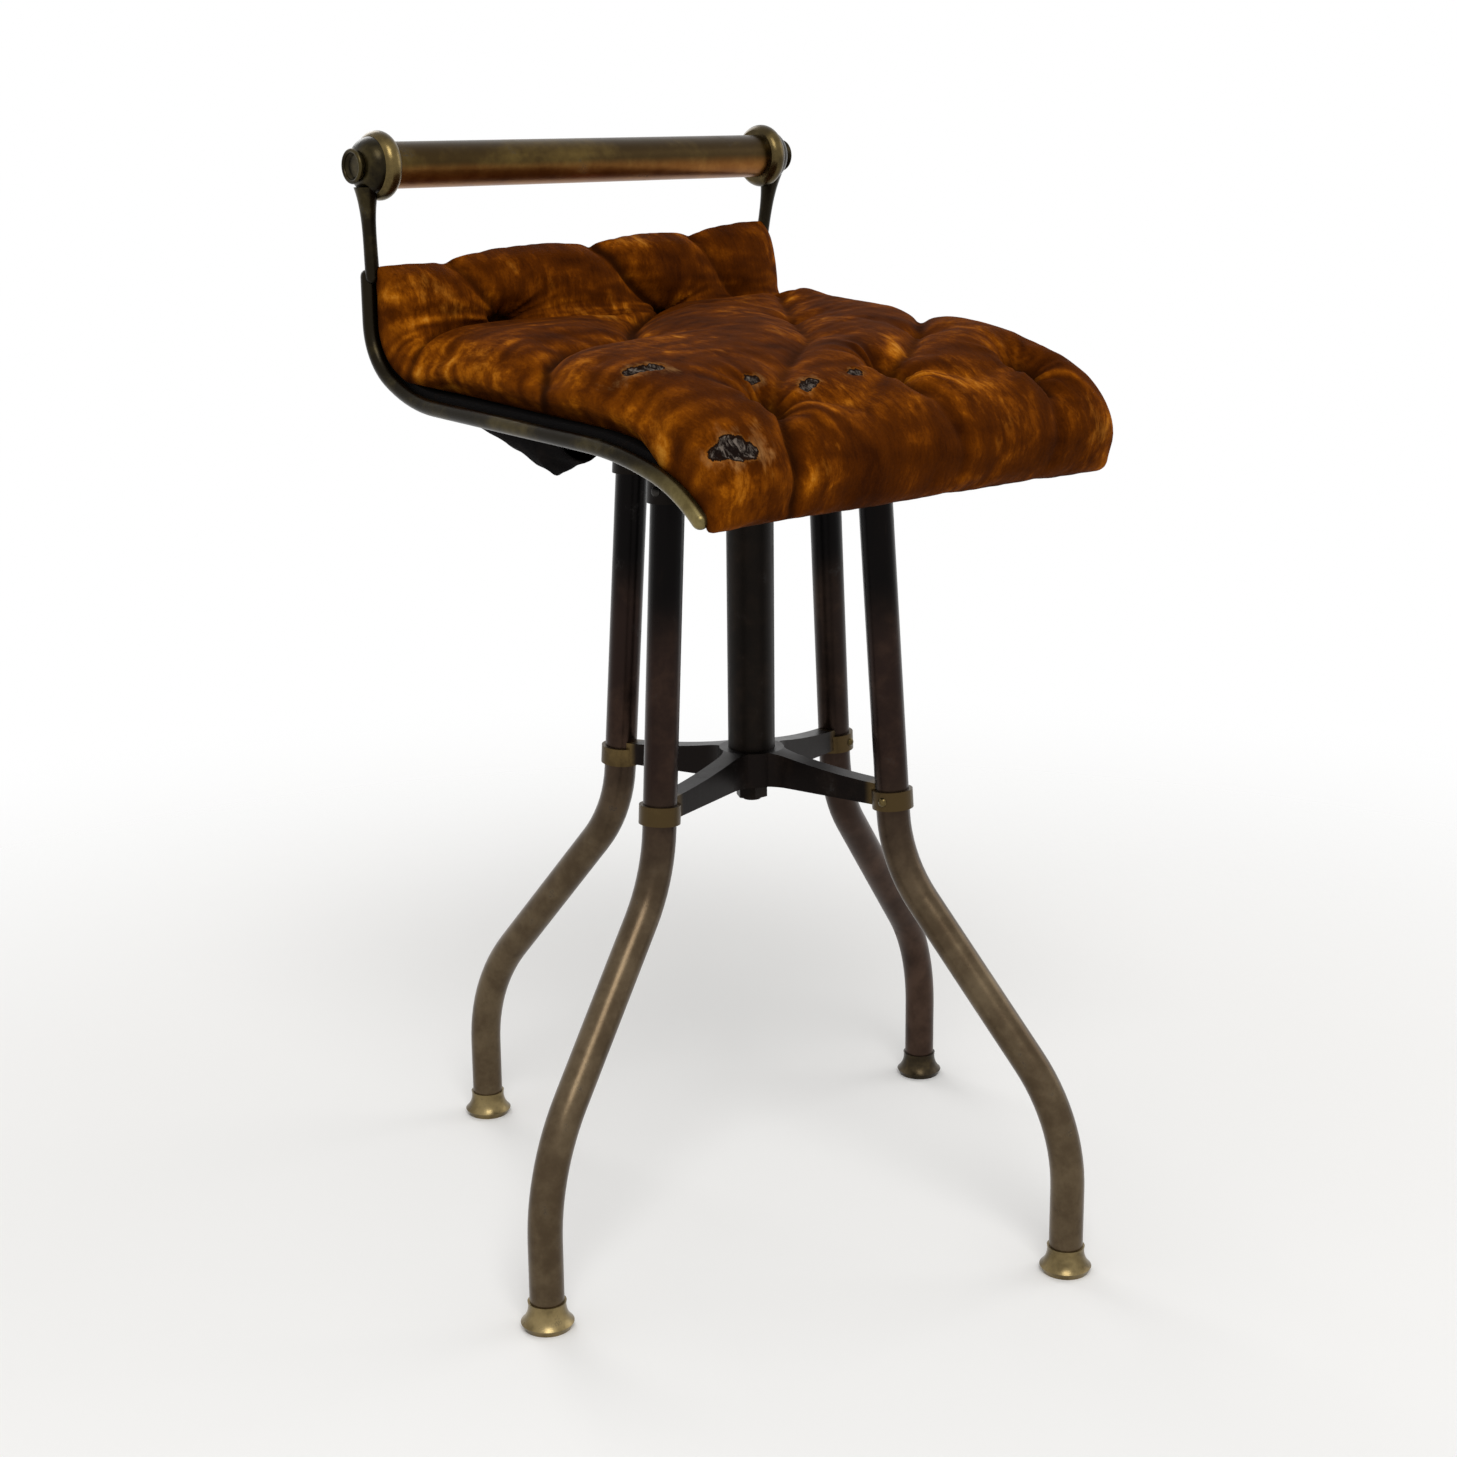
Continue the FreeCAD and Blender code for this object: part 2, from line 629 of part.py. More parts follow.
def make_spindle_pin():
    return cylinder(SPINDLE_PIN_D / 2, spindle_pin_start(), ALONG_X, 2 * PLATE_HUB_R)


# Side rails
def neck_foot(side):
    return V(side * RAIL_X, SEAT_BACK_Y - NECK_FRONT, SEAT_BACK_TOP)


def make_neck(side, grow):
    """The upright from the rail's top to the boss; grown by a clearance, it cuts the collar."""
    foot = neck_foot(side)
    head = V(side * NECK_TOP_X, HAND_Y, HAND_Z - CUP_R - NECK_TOP_R / 4)
    places = ((0.0, NECK_R), (0.5, NECK_R), (0.8, (2 * NECK_R + NECK_TOP_R) / 3), (1.0, NECK_TOP_R))
    rings = []
    for share, r in places:
        rings.append(Part.Wire(Part.makeCircle(r + grow, foot + (head - foot) * share, UP)))
    return Part.makeLoft(rings, True, False)


def make_boss(side):
    """A spigot in line with the tube, then a dome out to the cupped nut."""
    core = HAND_D / 2

    def at(x, r):
        return V(side * x, HAND_Y, HAND_Z + r)

    bulge_x = (BOSS_DOME_X + 2 * BOSS_OUTER_X) / 3
    bulge_r = BOSS_R - (BOSS_R - BOSS_END_R) * 0.38
    points = [at(BOSS_OUTER_X, BOSS_END_R), at(BOSS_OUTER_X, 0), at(BOSS_INNER_X, 0),
              at(BOSS_INNER_X, core), at(BOSS_DOME_X, core), at(BOSS_DOME_X, BOSS_R)]
    edges = [line(a, b) for a, b in zip(points, points[1:])]
    edges.append(arc(at(BOSS_DOME_X, BOSS_R), at(bulge_x, bulge_r), at(BOSS_OUTER_X, BOSS_END_R)))
    return turned(edges, V(0, HAND_Y, HAND_Z), ALONG_X)


def make_rail(side):
    x = side * RAIL_X
    path = Part.Wire(seat_edges(x, 0, SEAT_LENGTH, 0))
    top = seat_place(x, 0)
    height = math.sqrt(RAIL_SECTION_R ** 2 - RAIL_FLAT ** 2)
    a = top + V(-side * RAIL_FLAT, height, 0)
    b = top + V(-side * RAIL_FLAT, -height, 0)
    section = Part.Wire([line(a, b), arc(b, top + V(side * RAIL_SECTION_R, 0, 0), a)])
    rail = path.makePipeShell([section], True, False)
    room = SEAT_LENGTH + HAND_Z
    keep_x = x - RAIL_FLAT if side > 0 else x + RAIL_FLAT - room
    keep = Part.makeBox(room, 2 * room, 2 * room, V(keep_x, -room, -room))
    for s in (0, SEAT_LENGTH):
        rail = rail.fuse(Part.makeSphere(RAIL_SECTION_R - FIT, seat_place(x, s)).common(keep))
    boss = make_boss(side)
    neck = make_neck(side, 0.0)
    foot = neck_foot(side)
    ball = Part.makeSphere(NECK_R + FIT, foot)
    rail = rail.fuse(boss).fuse(neck).fuse(ball)
    lug_in = side * (RAIL_X - RAIL_FLAT - LUG_REACH)
    lug_out = side * (RAIL_X - RAIL_FLAT + 2)
    for s in lug_places:
        lug = seat_strip(lug_in, lug_out, s - LUG_W / 2, s + LUG_W / 2, -LUG_T, 0)
        rail = rail.fuse(lug)
        rail = rail.cut(screw_hole(side * lug_x, s, LUG_T))
    return rail.cut(cylinder(ROD_D / 2 + FIT, V(side * RAIL_X / 2, HAND_Y, HAND_Z), V(side, 0, 0), RAIL_X))


# Handrail
def make_handrail():
    return tube(HAND_D / 2, HAND_WALL, V(-BOSS_INNER_X, HAND_Y, HAND_Z), ALONG_X, 2 * BOSS_INNER_X)


def make_collar(side):
    """A rolled ring over the joint of tube and boss, with a notch for the neck."""
    outer, inner = side * (BOSS_DOME_X - FIT), side * (BOSS_DOME_X - COLLAR_W)
    bore = HAND_D / 2 + FIT
    shoulder = (bore + COLLAR_R) / 2

    def at(x, r):
        return V(x, HAND_Y, HAND_Z + r)

    profile = [
        line(at(outer, bore), at(outer, shoulder)),
        arc(at(outer, shoulder), at((outer + inner) / 2, COLLAR_R), at(inner, shoulder)),
        line(at(inner, shoulder), at(inner, bore)),
        line(at(inner, bore), at(outer, bore)),
    ]
    ring = turned(profile, V(0, HAND_Y, HAND_Z), ALONG_X)
    return ring.cut(make_neck(side, FIT))


def make_tie_rod():
    half = BOSS_OUTER_X + CUP_L - CUP_DEPTH
    return cylinder(ROD_D / 2, V(-half, HAND_Y, HAND_Z), ALONG_X, 2 * half)


def make_cup(side):
    """A cupped nut: its flared hollow rim shows at the end of the handrail."""
    def at(x, r):
        return V(side * (BOSS_OUTER_X + x), HAND_Y, HAND_Z + r)

    rim_r = (CUP_R - CUP_HOLE_R) / 2
    floor = CUP_L - CUP_DEPTH
    bore = ROD_D / 2 + FIT
    points = [at(CUP_L - rim_r, CUP_HOLE_R), at(floor, CUP_HOLE_R - rim_r), at(floor, bore), at(0, bore),
              at(0, CUP_FOOT_R), at(CUP_L - rim_r, CUP_R)]
    edges = [line(a, b) for a, b in zip(points, points[1:])]
    edges.append(arc(points[-1], at(CUP_L, CUP_R - rim_r), points[0]))
    return turned(edges, V(0, HAND_Y, HAND_Z), ALONG_X)


# Seat board
board_x = RAIL_X - RAIL_FLAT - BOARD_EDGE_GAP
board_s1 = SEAT_LENGTH - BOARD_TIP_GAP


def make_board():
    board = seat_strip(-board_x, board_x, BOARD_TOP_GAP, board_s1, 0, BOARD_T)
    for x, s in lug_screws:
        board = board.cut(screw_hole(x, s, LUG_T))
    for x, s in plate_screws:
        board = board.cut(screw_hole(x, s, PLATE_T))
    return board


# Pad: a loft through sections across the seat, pressed down at its tufts and creases
PAD_X = RAIL_X - RAIL_FLAT - PAD_SIDE_GAP
END_FOOT = 0.42                       # height of the rounded ends, of the full height
SIDE_FOOT = 0.70                      # and of the rounded sides
# Tufts and shallower puckers as shares of the half width and of the seat line's length
TUFTS = {
    "back_left": (-0.52, 0.117), "back_middle": (0.31, 0.145),
    "front_left": (-0.55, 0.88), "front_middle": (0.13, 0.846), "front_right": (0.74, 0.887),
}
PUCKERS = {"left": (-0.37, 0.49), "right": (0.46, 0.495), "front": (0.65, 0.72), "back": (0.83, 0.255)}
SPOTS = {**TUFTS, **PUCKERS}
# Creases between them and the edges, with their depth as a share of a tuft's
CREASES = (
    (("back_left", (-0.70, -0.04)), 0.30), (("back_middle", (0.02, -0.04)), 0.40),
    (("back", (0.71, 0.117), (0.57, -0.04)), 0.26), (("back", (1.02, 0.27)), 0.26),
    (("back_left", (-1.02, 0.235)), 0.30), (("back_left", (-0.17, 0.215), "back_middle"), 0.16),
    (("back_middle", (0.55, 0.235), "back"), 0.18),
    (("back_middle", (-0.18, 0.38), "left", (-0.75, 0.52), (-1.02, 0.61)), 0.30),
    (("back", "right", (0.17, 0.67), (-0.25, 0.795), "front_left"), 0.26),
    (("front_middle", (0.33, 0.81), "front", (1.02, 0.575)), 0.30),
    (("front_left", (-0.25, 0.93), "front_middle"), 0.16), (("front_middle", (0.38, 0.91), "front_right"), 0.16),
    (("front_left", (-0.68, 1.02)), 0.24), (("front_middle", (0.14, 1.02)), 0.12),
    (("front_right", (0.64, 1.02)), 0.12),
)
# Where the pad's sections stand along it, and where their tops bend across it
PAD_STATIONS = (0, 0.03, 0.08, 0.15, 0.21, 0.275, 0.34, 0.42, 0.50, 0.58, 0.65, 0.72, 0.79, 0.86, 0.92, 0.97, 1)
PAD_SPOTS = (-1, -0.96, -0.86, -0.70, -0.54, -0.37, -0.18, 0, 0.13, 0.31, 0.46, 0.62, 0.74, 0.86, 0.96, 1)


def pad_direction(s):
    """The way a section stands: it fans out more slowly than the seat line bends, so none cross."""
    steps = 12
    total = V(0, 0, 0)
    for k in range(steps + 1):
        total += seat_normal(max(0, min(SEAT_LENGTH, s + PAD_FAN * (k / steps - 0.5))))
    return total.normalize()


def pad_spot(place):
    """A tuft's or pucker's name, or a place in shares, as lengths across and along."""
    across, along = SPOTS[place] if isinstance(place, str) else place
    return across * PAD_X, along * SEAT_LENGTH


def off_segment(x, s, a, b):
    """How far a place is from the straight line between two others."""
    dx, ds = b[0] - a[0], b[1] - a[1]
    t = max(0, min(1, ((x - a[0]) * dx + (s - a[1]) * ds) / (dx * dx + ds * ds)))
    return math.hypot(x - a[0] - t * dx, s - a[1] - t * ds)


def pressed(x, s):
    """How far tufts and creases press the top down."""
    total = 0.0
    for places, share in CREASES:
        spots = [pad_spot(place) for place in places]
        off = min(off_segment(x, s, a, b) for a, b in zip(spots, spots[1:]))
        total += (share * TUFT_DEPTH * max(0, 1 - off / CREASE_W) ** 2) ** 3
    for name in SPOTS:
        tx, ts = pad_spot(name)
        depth = TUFT_DEPTH if name in TUFTS else PUCKER_DEPTH
        total += (depth * max(0, 1 - math.hypot(x - tx, s - ts) / TUFT_W) ** 1.7) ** 3
    return total ** (1 / 3)


def rounding(distance, width):
    """1 away from an edge, and 0 at it, as a quarter round."""
    return math.sqrt(1 - max(0, min(1, 1 - distance / width)) ** 2)


def pad_top(x, s):
    """Height of the pad's top over the seat line."""
    back_share = max(0, min(1, (FLAT_START - s) / FLAT_START))
    crest = PAD_CREST + (PAD_BACK_CREST - PAD_CREST) * back_share
    crest += PAD_LEAN * x / PAD_X
    sides = rounding(PAD_X - abs(x), SIDE_ROLL)
    ends = rounding(s + PAD_LIP, BACK_ROLL) * rounding(SEAT_LENGTH + PAD_NOSE - s, FRONT_ROLL)
    top = crest * (END_FOOT + (1 - END_FOOT) * ends) * (SIDE_FOOT + (1 - SIDE_FOOT) * sides)
    return top - pressed(x, s) * (0.3 + 0.7 * ends * sides)


def pad_section(s):
    """One section across the seat at a length along the seat line."""
    base = seat_place(0, s)
    rise = pad_direction(s)

    def at(x, h):
        return base + V(x, 0, 0) + rise * h

    inset = PAD_X - PAD_DRAW_IN
    points = [at(inset, PAD_LOW), at(-inset, PAD_LOW)]
    points += [at(PAD_X * f, pad_top(PAD_X * f, s)) for f in PAD_SPOTS]
    return Part.Wire(closed_lines(points))


def make_pad():
    length = PAD_LIP + SEAT_LENGTH + PAD_NOSE
    wires = [pad_section(f * length - PAD_LIP) for f in PAD_STATIONS]
    pad = Part.makeLoft(wires, True, True)
    clear = PAD_LIP + PAD_CREST
    room = seat_strip(-RAIL_X, RAIL_X, -clear, board_s1, -clear, BOARD_T + PAD_GAP)
    return pad.cut(room)


# Lining
def lining_section(x0, x1, run, sag):
    """A hanging strip across one side at a place along the flat part."""
    def at(x, drop):
        return seat_place(x, FLAT_START + run, -drop)

    middle = (x0 + x1) / 2
    top = [at(x0, 0), at(middle, sag), at(x1, 0)]
    low = [at(x0, LINING_T), at(middle, sag + LINING_T), at(x1, LINING_T)]
    return Part.Wire([arc(*top), line(top[2], low[2]), arc(low[2], low[1], low[0]), line(low[0], top[0])])


def make_lining(side):
    x0, x1 = side * (board_x - 2), side * (board_x - 2 - LINING_REACH)
    stations = ((LINING_FROM, LINING_SAG_BACK), (LINING_DEEP, LINING_SAG_DEEP), (LINING_TO, LINING_SAG_FRONT))
    return Part.makeLoft([lining_section(x0, x1, run, sag) for run, sag in stations], True, True)


def main():
    os.makedirs("parts", exist_ok=True)
    names = ("right", "back", "left", "front")
    ring_pins, crown_pins = [], []
    for k in range(LEG_COUNT):
        spin = BASE_TURN + 360 / LEG_COUNT * k
        pieces = {
            "leg_" + names[k]: make_leg(),
            "foot_" + names[k]: make_foot(),
        }
        for name, shape in pieces.items():
            shape.rotate(V(0, 0, 0), UP, spin)
            save(name, shape)
        ring_pin = make_pin(ring_centre(), V(0, -1, 0), leg_r + FIT + RING_WALL)
        crown_pin = make_pin(crown_pin_place(), ALONG_X, leg_r + FIT + CROWN_WALL + 0.3)
        for pin, group in ((ring_pin, ring_pins), (crown_pin, crown_pins)):
            pin.rotate(V(0, 0, 0), UP, spin)
            group.append(pin)
    for name, shape in (("stretcher_spider", make_spider()), ("crown", make_crown())):
        shape.rotate(V(0, 0, 0), UP, BASE_TURN)
        save(name, shape)
    save("ring_pins", Part.Compound(ring_pins))
    save("crown_pins", Part.Compound(crown_pins))
    save("column_tube", make_column())
    save("column_plug", make_plug())
    save("stud_nut", make_stud_nut())
    save("column_nut", make_nut())
    save("guide_bush", make_guide())
    save("screw_spindle", make_spindle())
    save("end_washer", make_end_washer())
    save("end_nut", make_end_nut())
    save("seat_plate", make_plate())
    save("spindle_pin", make_spindle_pin())
    save("plate_screws", Part.Compound([make_screw(x, s, PLATE_T) for x, s in plate_screws]))
    save("seat_board", make_board())
    save("lug_screws", Part.Compound([make_screw(x, s, LUG_T) for x, s in lug_screws]))
    save("handrail_tube", make_handrail())
    save("tie_rod", make_tie_rod())
    save("seat_pad", make_pad())
    for side, word in ((-1, "left"), (1, "right")):
        save("side_rail_" + word, make_rail(side))
        save("handrail_collar_" + word, make_collar(side))
        save("end_cup_" + word, make_cup(side))
        save("lining_" + word, make_lining(side))


main()
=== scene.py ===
# %% [markdown]
# # A brass piano stool with a tufted velvet seat
# The stool stands on four bent tubes, and its seat turns on a screw in the middle column.
# The imported model gives every rigid piece its place, so the lesson starts by loading it.

# %% Load the frame
import math

import bmesh
import bpy
import numpy as np
from mathutils import Matrix, Vector, noise


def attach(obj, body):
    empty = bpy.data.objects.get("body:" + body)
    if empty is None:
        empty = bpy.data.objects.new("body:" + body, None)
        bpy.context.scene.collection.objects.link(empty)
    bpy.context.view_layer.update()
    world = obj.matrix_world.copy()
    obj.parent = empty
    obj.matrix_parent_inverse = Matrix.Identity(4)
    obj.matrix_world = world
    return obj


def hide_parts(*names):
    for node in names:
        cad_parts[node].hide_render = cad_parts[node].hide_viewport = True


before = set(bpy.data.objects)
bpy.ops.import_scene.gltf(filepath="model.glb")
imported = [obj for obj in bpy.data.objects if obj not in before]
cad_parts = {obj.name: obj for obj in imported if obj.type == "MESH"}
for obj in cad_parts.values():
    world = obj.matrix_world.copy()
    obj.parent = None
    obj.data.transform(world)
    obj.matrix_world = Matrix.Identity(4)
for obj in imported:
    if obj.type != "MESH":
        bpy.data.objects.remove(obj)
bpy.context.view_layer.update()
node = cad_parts

# %% [markdown]
# ## Camera
# The photograph was taken from the left of the front, a little above the seat.
# A pinhole camera that was fitted to the feet, the rings and the rails gives the place,
# the three turns and the focal length, so the render can be laid beside the photograph.

# %% Camera
CAMERA_PLACE = (-1.0529, -1.1593, 0.7395)
CAMERA_TURNS = (("Z", -41.417), ("X", -14.427), ("Y", 0.635), ("X", 90.0))
CAMERA_LENS = 58.79
CAMERA_SHIFT_X = 0.0072

camera_data = bpy.data.cameras.new("camera")
camera_data.lens = CAMERA_LENS
camera_data.sensor_width = 36.0
camera_data.shift_x = CAMERA_SHIFT_X
camera = bpy.data.objects.new("camera", camera_data)
bpy.context.scene.collection.objects.link(camera)
camera.matrix_world = Matrix.Translation(CAMERA_PLACE)
for axis, degrees in CAMERA_TURNS:
    camera.matrix_world = camera.matrix_world @ Matrix.Rotation(math.radians(degrees), 4, axis)
bpy.context.scene.camera = camera
bpy.context.scene.view_settings.view_transform = "Standard"
print("camera at", CAMERA_PLACE)

# %% [markdown]
# ## Shader sums
# Finishes are sums of noise and masks. Wrapping a socket in a small class lets Python's own
# signs add the Math nodes, so a finish reads like a sum. Any other node comes from one method.


# %% A socket that takes part in sums
class Flow:
    """One socket of a shader tree. Signs between two, or one and a number, add Math nodes."""

    def __init__(self, tree, socket=None):
        self.tree = tree
        self.socket = socket

    def node(self, kind, settings=None, sockets=None, out=0):
        """Adds a node: its settings first, then its sockets, by name or number."""
        made = self.tree.nodes.new("ShaderNode" + kind)
        for name, value in (settings or {}).items():
            if name == "stops":
                ramp = made.color_ramp
                while len(ramp.elements) < len(value):
                    ramp.elements.new(0.5)
                for element, (place, colour) in zip(ramp.elements, value):
                    element.position = place
                    element.color = colour
            else:
                setattr(made, name, value)
        for name, value in (sockets or {}).items():
            if isinstance(value, Flow):
                self.tree.links.new(value.socket, made.inputs[name])
            else:
                made.inputs[name].default_value = value
        return Flow(self.tree, made.outputs[out] if made.outputs else None)

    def math(self, operation, *values):
        return self.node("Math", {"operation": operation}, dict(enumerate(values)))

    def __add__(self, other):
        return self.math("ADD", self, other)

    def __sub__(self, other):
        return self.math("SUBTRACT", self, other)

    def __rsub__(self, other):
        return self.math("SUBTRACT", other, self)

    def __mul__(self, other):
        return self.math("MULTIPLY", self, other)

    __radd__ = __add__
    __rmul__ = __mul__

    def step(self, low, high):
        """0 below low and 1 above high, smooth between them."""
        return self.node("MapRange", {"interpolation_type": "SMOOTHSTEP"},
                         {"Value": self, "From Min": low, "From Max": high})

    def mix(self, a, b):
        """Colour a where this is 0 and colour b where it is 1."""
        return self.node("Mix", {"data_type": "RGBA"}, {0: self, 6: a, 7: b}, out=2)


def rgb(text):
    """A colour that is written as on a screen, as the linear numbers of a shader."""
    parts = [int(text[i:i + 2], 16) / 255 for i in (0, 2, 4)]
    linear = [c / 12.92 if c <= 0.04045 else ((c + 0.055) / 1.055) ** 2.4 for c in parts]
    return (*linear, 1.0)


def start_finish(name):
    """An empty material, its tree, and its place on the piece."""
    material = bpy.data.materials.new(name)
    material.use_nodes = True
    material.node_tree.nodes.clear()
    tree = Flow(material.node_tree)
    place = tree.node("TexCoord", out=3)
    return material, tree, place


def end_finish(tree, sockets):
    """The shader that takes the finish."""
    shader = tree.node("BsdfPrincipled", None, sockets)
    tree.node("OutputMaterial", None, {"Surface": shader})


def grain(tree, place, scale, detail=3.0, roughness=0.55, stretch=None, distortion=0.0):
    """Noise of so many waves in a metre, from 0 to 1, which may be stretched along an axis."""
    if stretch:
        place = tree.node("Mapping", None, {"Vector": place, "Scale": stretch})
    return tree.node("TexNoise", None, {"Vector": place, "Scale": scale, "Detail": detail,
                                        "Roughness": roughness, "Distortion": distortion})


def height_of(tree, place):
    """How high a point of the piece is above the floor, in metres."""
    return tree.node("SeparateXYZ", None, {"Vector": place}, out=2)


def bump(tree, height, distance, strength):
    """Small relief, so many metres high, which only turns the light."""
    return tree.node("Bump", None, {"Height": height, "Distance": distance, "Strength": strength})


print("shader sums are ready")

# %% [markdown]
# ## Floor and light
# The photograph is cut out on white. A pale floor keeps a soft shadow under the feet, and the
# world shows white to the camera and to reflections, while it lights the stool at a plain level.
# A large lamp high on the left is the main light, so the seat shades the upper legs.

# %% Floor
FLOOR_SIZE = 6.0
FLOOR_FADE = (0.45, 1.5)     # distances from the column between which the floor turns clear
FLOOR_COLOUR = "f4f3f1"

floor_mesh = bpy.data.meshes.new("floor")
floor_bm = bmesh.new()
bmesh.ops.create_grid(floor_bm, x_segments=1, y_segments=1, size=FLOOR_SIZE / 2)
floor_bm.to_mesh(floor_mesh)
floor_bm.free()
floor = bpy.data.objects.new("floor", floor_mesh)
bpy.context.scene.collection.objects.link(floor)
floor_material, floor_tree, floor_place = start_finish("pale_floor")
far = floor_tree.node("VectorMath", {"operation": "LENGTH"}, {0: floor_place}, out=1)
end_finish(floor_tree, {"Base Color": rgb(FLOOR_COLOUR), "Roughness": 0.9,
                        "Specular IOR Level": 0.0, "Alpha": 1.0 - far.step(*FLOOR_FADE)})
floor.data.materials.append(floor_material)
print("floor", FLOOR_SIZE, "m")

# %% Light
WORLD_LEVEL = 0.62
LAMP_AIM = Vector((0.0, 0.0, 0.45))
LAMPS = {                    # place, width in metres and power in watts
    "key": ((-1.1, -1.5, 2.5), 1.2, 34.0),
    "side": ((2.2, -0.9, 1.3), 1.4, 9.0),
    "rear": ((0.4, 2.2, 1.9), 1.2, 12.0),
}

world = bpy.data.worlds.new("studio")
world.use_nodes = True
world.node_tree.nodes.clear()
sky = Flow(world.node_tree)
rays = ("Is Camera Ray", "Is Glossy Ray", "Is Transmission Ray")
seen = [sky.node("LightPath", out=name) for name in rays]
shown = sky.math("MAXIMUM", sky.math("MAXIMUM", seen[0], seen[1]), seen[2])
level = WORLD_LEVEL + shown * (1.0 - WORLD_LEVEL)
glow = sky.node("Background", None, {"Color": (1.0, 1.0, 1.0, 1.0), "Strength": level})
sky.node("OutputWorld", None, {"Surface": glow})
bpy.context.scene.world = world

for name, (place, size, power) in LAMPS.items():
    lamp_data = bpy.data.lights.new(name, "AREA")
    lamp_data.size = size
    lamp_data.energy = power
    lamp = bpy.data.objects.new(name, lamp_data)
    bpy.context.scene.collection.objects.link(lamp)
    lamp.location = place
    lamp.rotation_euler = (LAMP_AIM - Vector(place)).to_track_quat("-Z", "Y").to_euler()
print("lamps", list(LAMPS))

# %% [markdown]
# ## Old brass
# The metal is brass tube and casting with a brown skin that hands and feet have rubbed thin.
# One recipe makes every brass finish: a skin colour, a rubbed colour, and dark spots. Slow
# noise lays the rubbed places, fine noise the grain, and stretched noise the scratches. Some
# pieces change colour on the way down, and the casting does so where its rings begin. Some of
# this is painted light: the seat's shadow on the upper legs, a darker far leg in shade, a
# highlight on the rails' front tips and the velvet's reflection under the handrail.


# %% The brass recipe
SLOW, PATCH, FINE, SCRATCH = 16.0, 55.0, 900.0, 420.0     # waves in a metre
RING_FROM, RING_TO = 0.092, 0.098                         # from the column to the rings' edge
# painted shade: the colour and share of the seat's shadow on the upper legs
SEAT_SHADOW_COLOUR, SEAT_SHADOW_SHARE = "060505", 0.95
GLOSS_WANDER = 0.16                                       # of the roughness, from patch to patch


def old_brass(name, skin, rubbed, spots, rub=(0.45, 0.7), roughness=0.36, drop=None, low=None,
              outer=None, seat_shadow=None, stretch=(1.0, 1.0, 0.06)):
    """Brass with a skin, rubbed places and dark spots.

    Below a drop the low colours take over, out at the legs the outer ones do, and above the
    heights given for the seat's shadow it is nearly black, which is painted shade."""
    material, tree, place = start_finish(name)
    slow = grain(tree, place, SLOW, 4.0, 0.6, distortion=0.6)
    patch = grain(tree, place, PATCH, 5.0, 0.65)
    fine = grain(tree, place, FINE, 2.0)
    scratch = grain(tree, place, SCRATCH, 3.0, 0.7, stretch)
    rubbing = (slow * 0.6 + patch * 0.4).step(*rub)
    colour = rubbing.mix(rgb(skin), rgb(rubbed))
    # Below a drop the low colours take over: worn brass on the legs, a painted highlight on the
    # rails' front tips and a painted reflection of the velvet under the handrail.
    if drop:
        high_z, low_z = drop
        waver = (slow - 0.5) * (0.4 * (high_z - low_z))
        lowness = 1.0 - (height_of(tree, place) + waver).step(low_z, high_z)
        under = (patch * 0.5 + slow * 0.5).step(0.38, 0.66).mix(rgb(low[0]), rgb(low[1]))
        colour = lowness.mix(colour, under)
    # painted shade: above these heights the seat's shadow turns the piece nearly black
    if seat_shadow:
        seat_shadowed = height_of(tree, place).step(*seat_shadow) * SEAT_SHADOW_SHARE
        colour = seat_shadowed.mix(colour, rgb(SEAT_SHADOW_COLOUR))
    if outer:
        level_place = tree.node("Mapping", None, {"Vector": place, "Scale": (1.0, 1.0, 0.0)})
        away = tree.node("VectorMath", {"operation": "LENGTH"}, {0: level_place}, out=1)
        handled = rubbing.mix(rgb(outer[0]), rgb(outer[1]))
        colour = away.step(RING_FROM, RING_TO).mix(colour, handled)
    spot = patch.step(0.60, 0.72) * fine.step(0.35, 0.65)
    colour = (spot * 0.6).mix(colour, rgb(spots))
    streak = scratch.step(0.56, 0.78) * rubbing
    colour = (streak * 0.25).mix(colour, rgb(rubbed))
    rough = roughness + (patch - 0.5) * GLOSS_WANDER + spot * 0.22 + (fine - 0.5) * 0.08
    surface = patch * 0.4 + fine * 0.25 - spot * 0.5 + scratch * 0.2
    end_finish(tree, {"Base Color": colour, "Metallic": 0.92 - spot * 0.35, "Roughness": rough,
                      "Normal": bump(tree, surface, 0.0004, 0.35)})
    return material


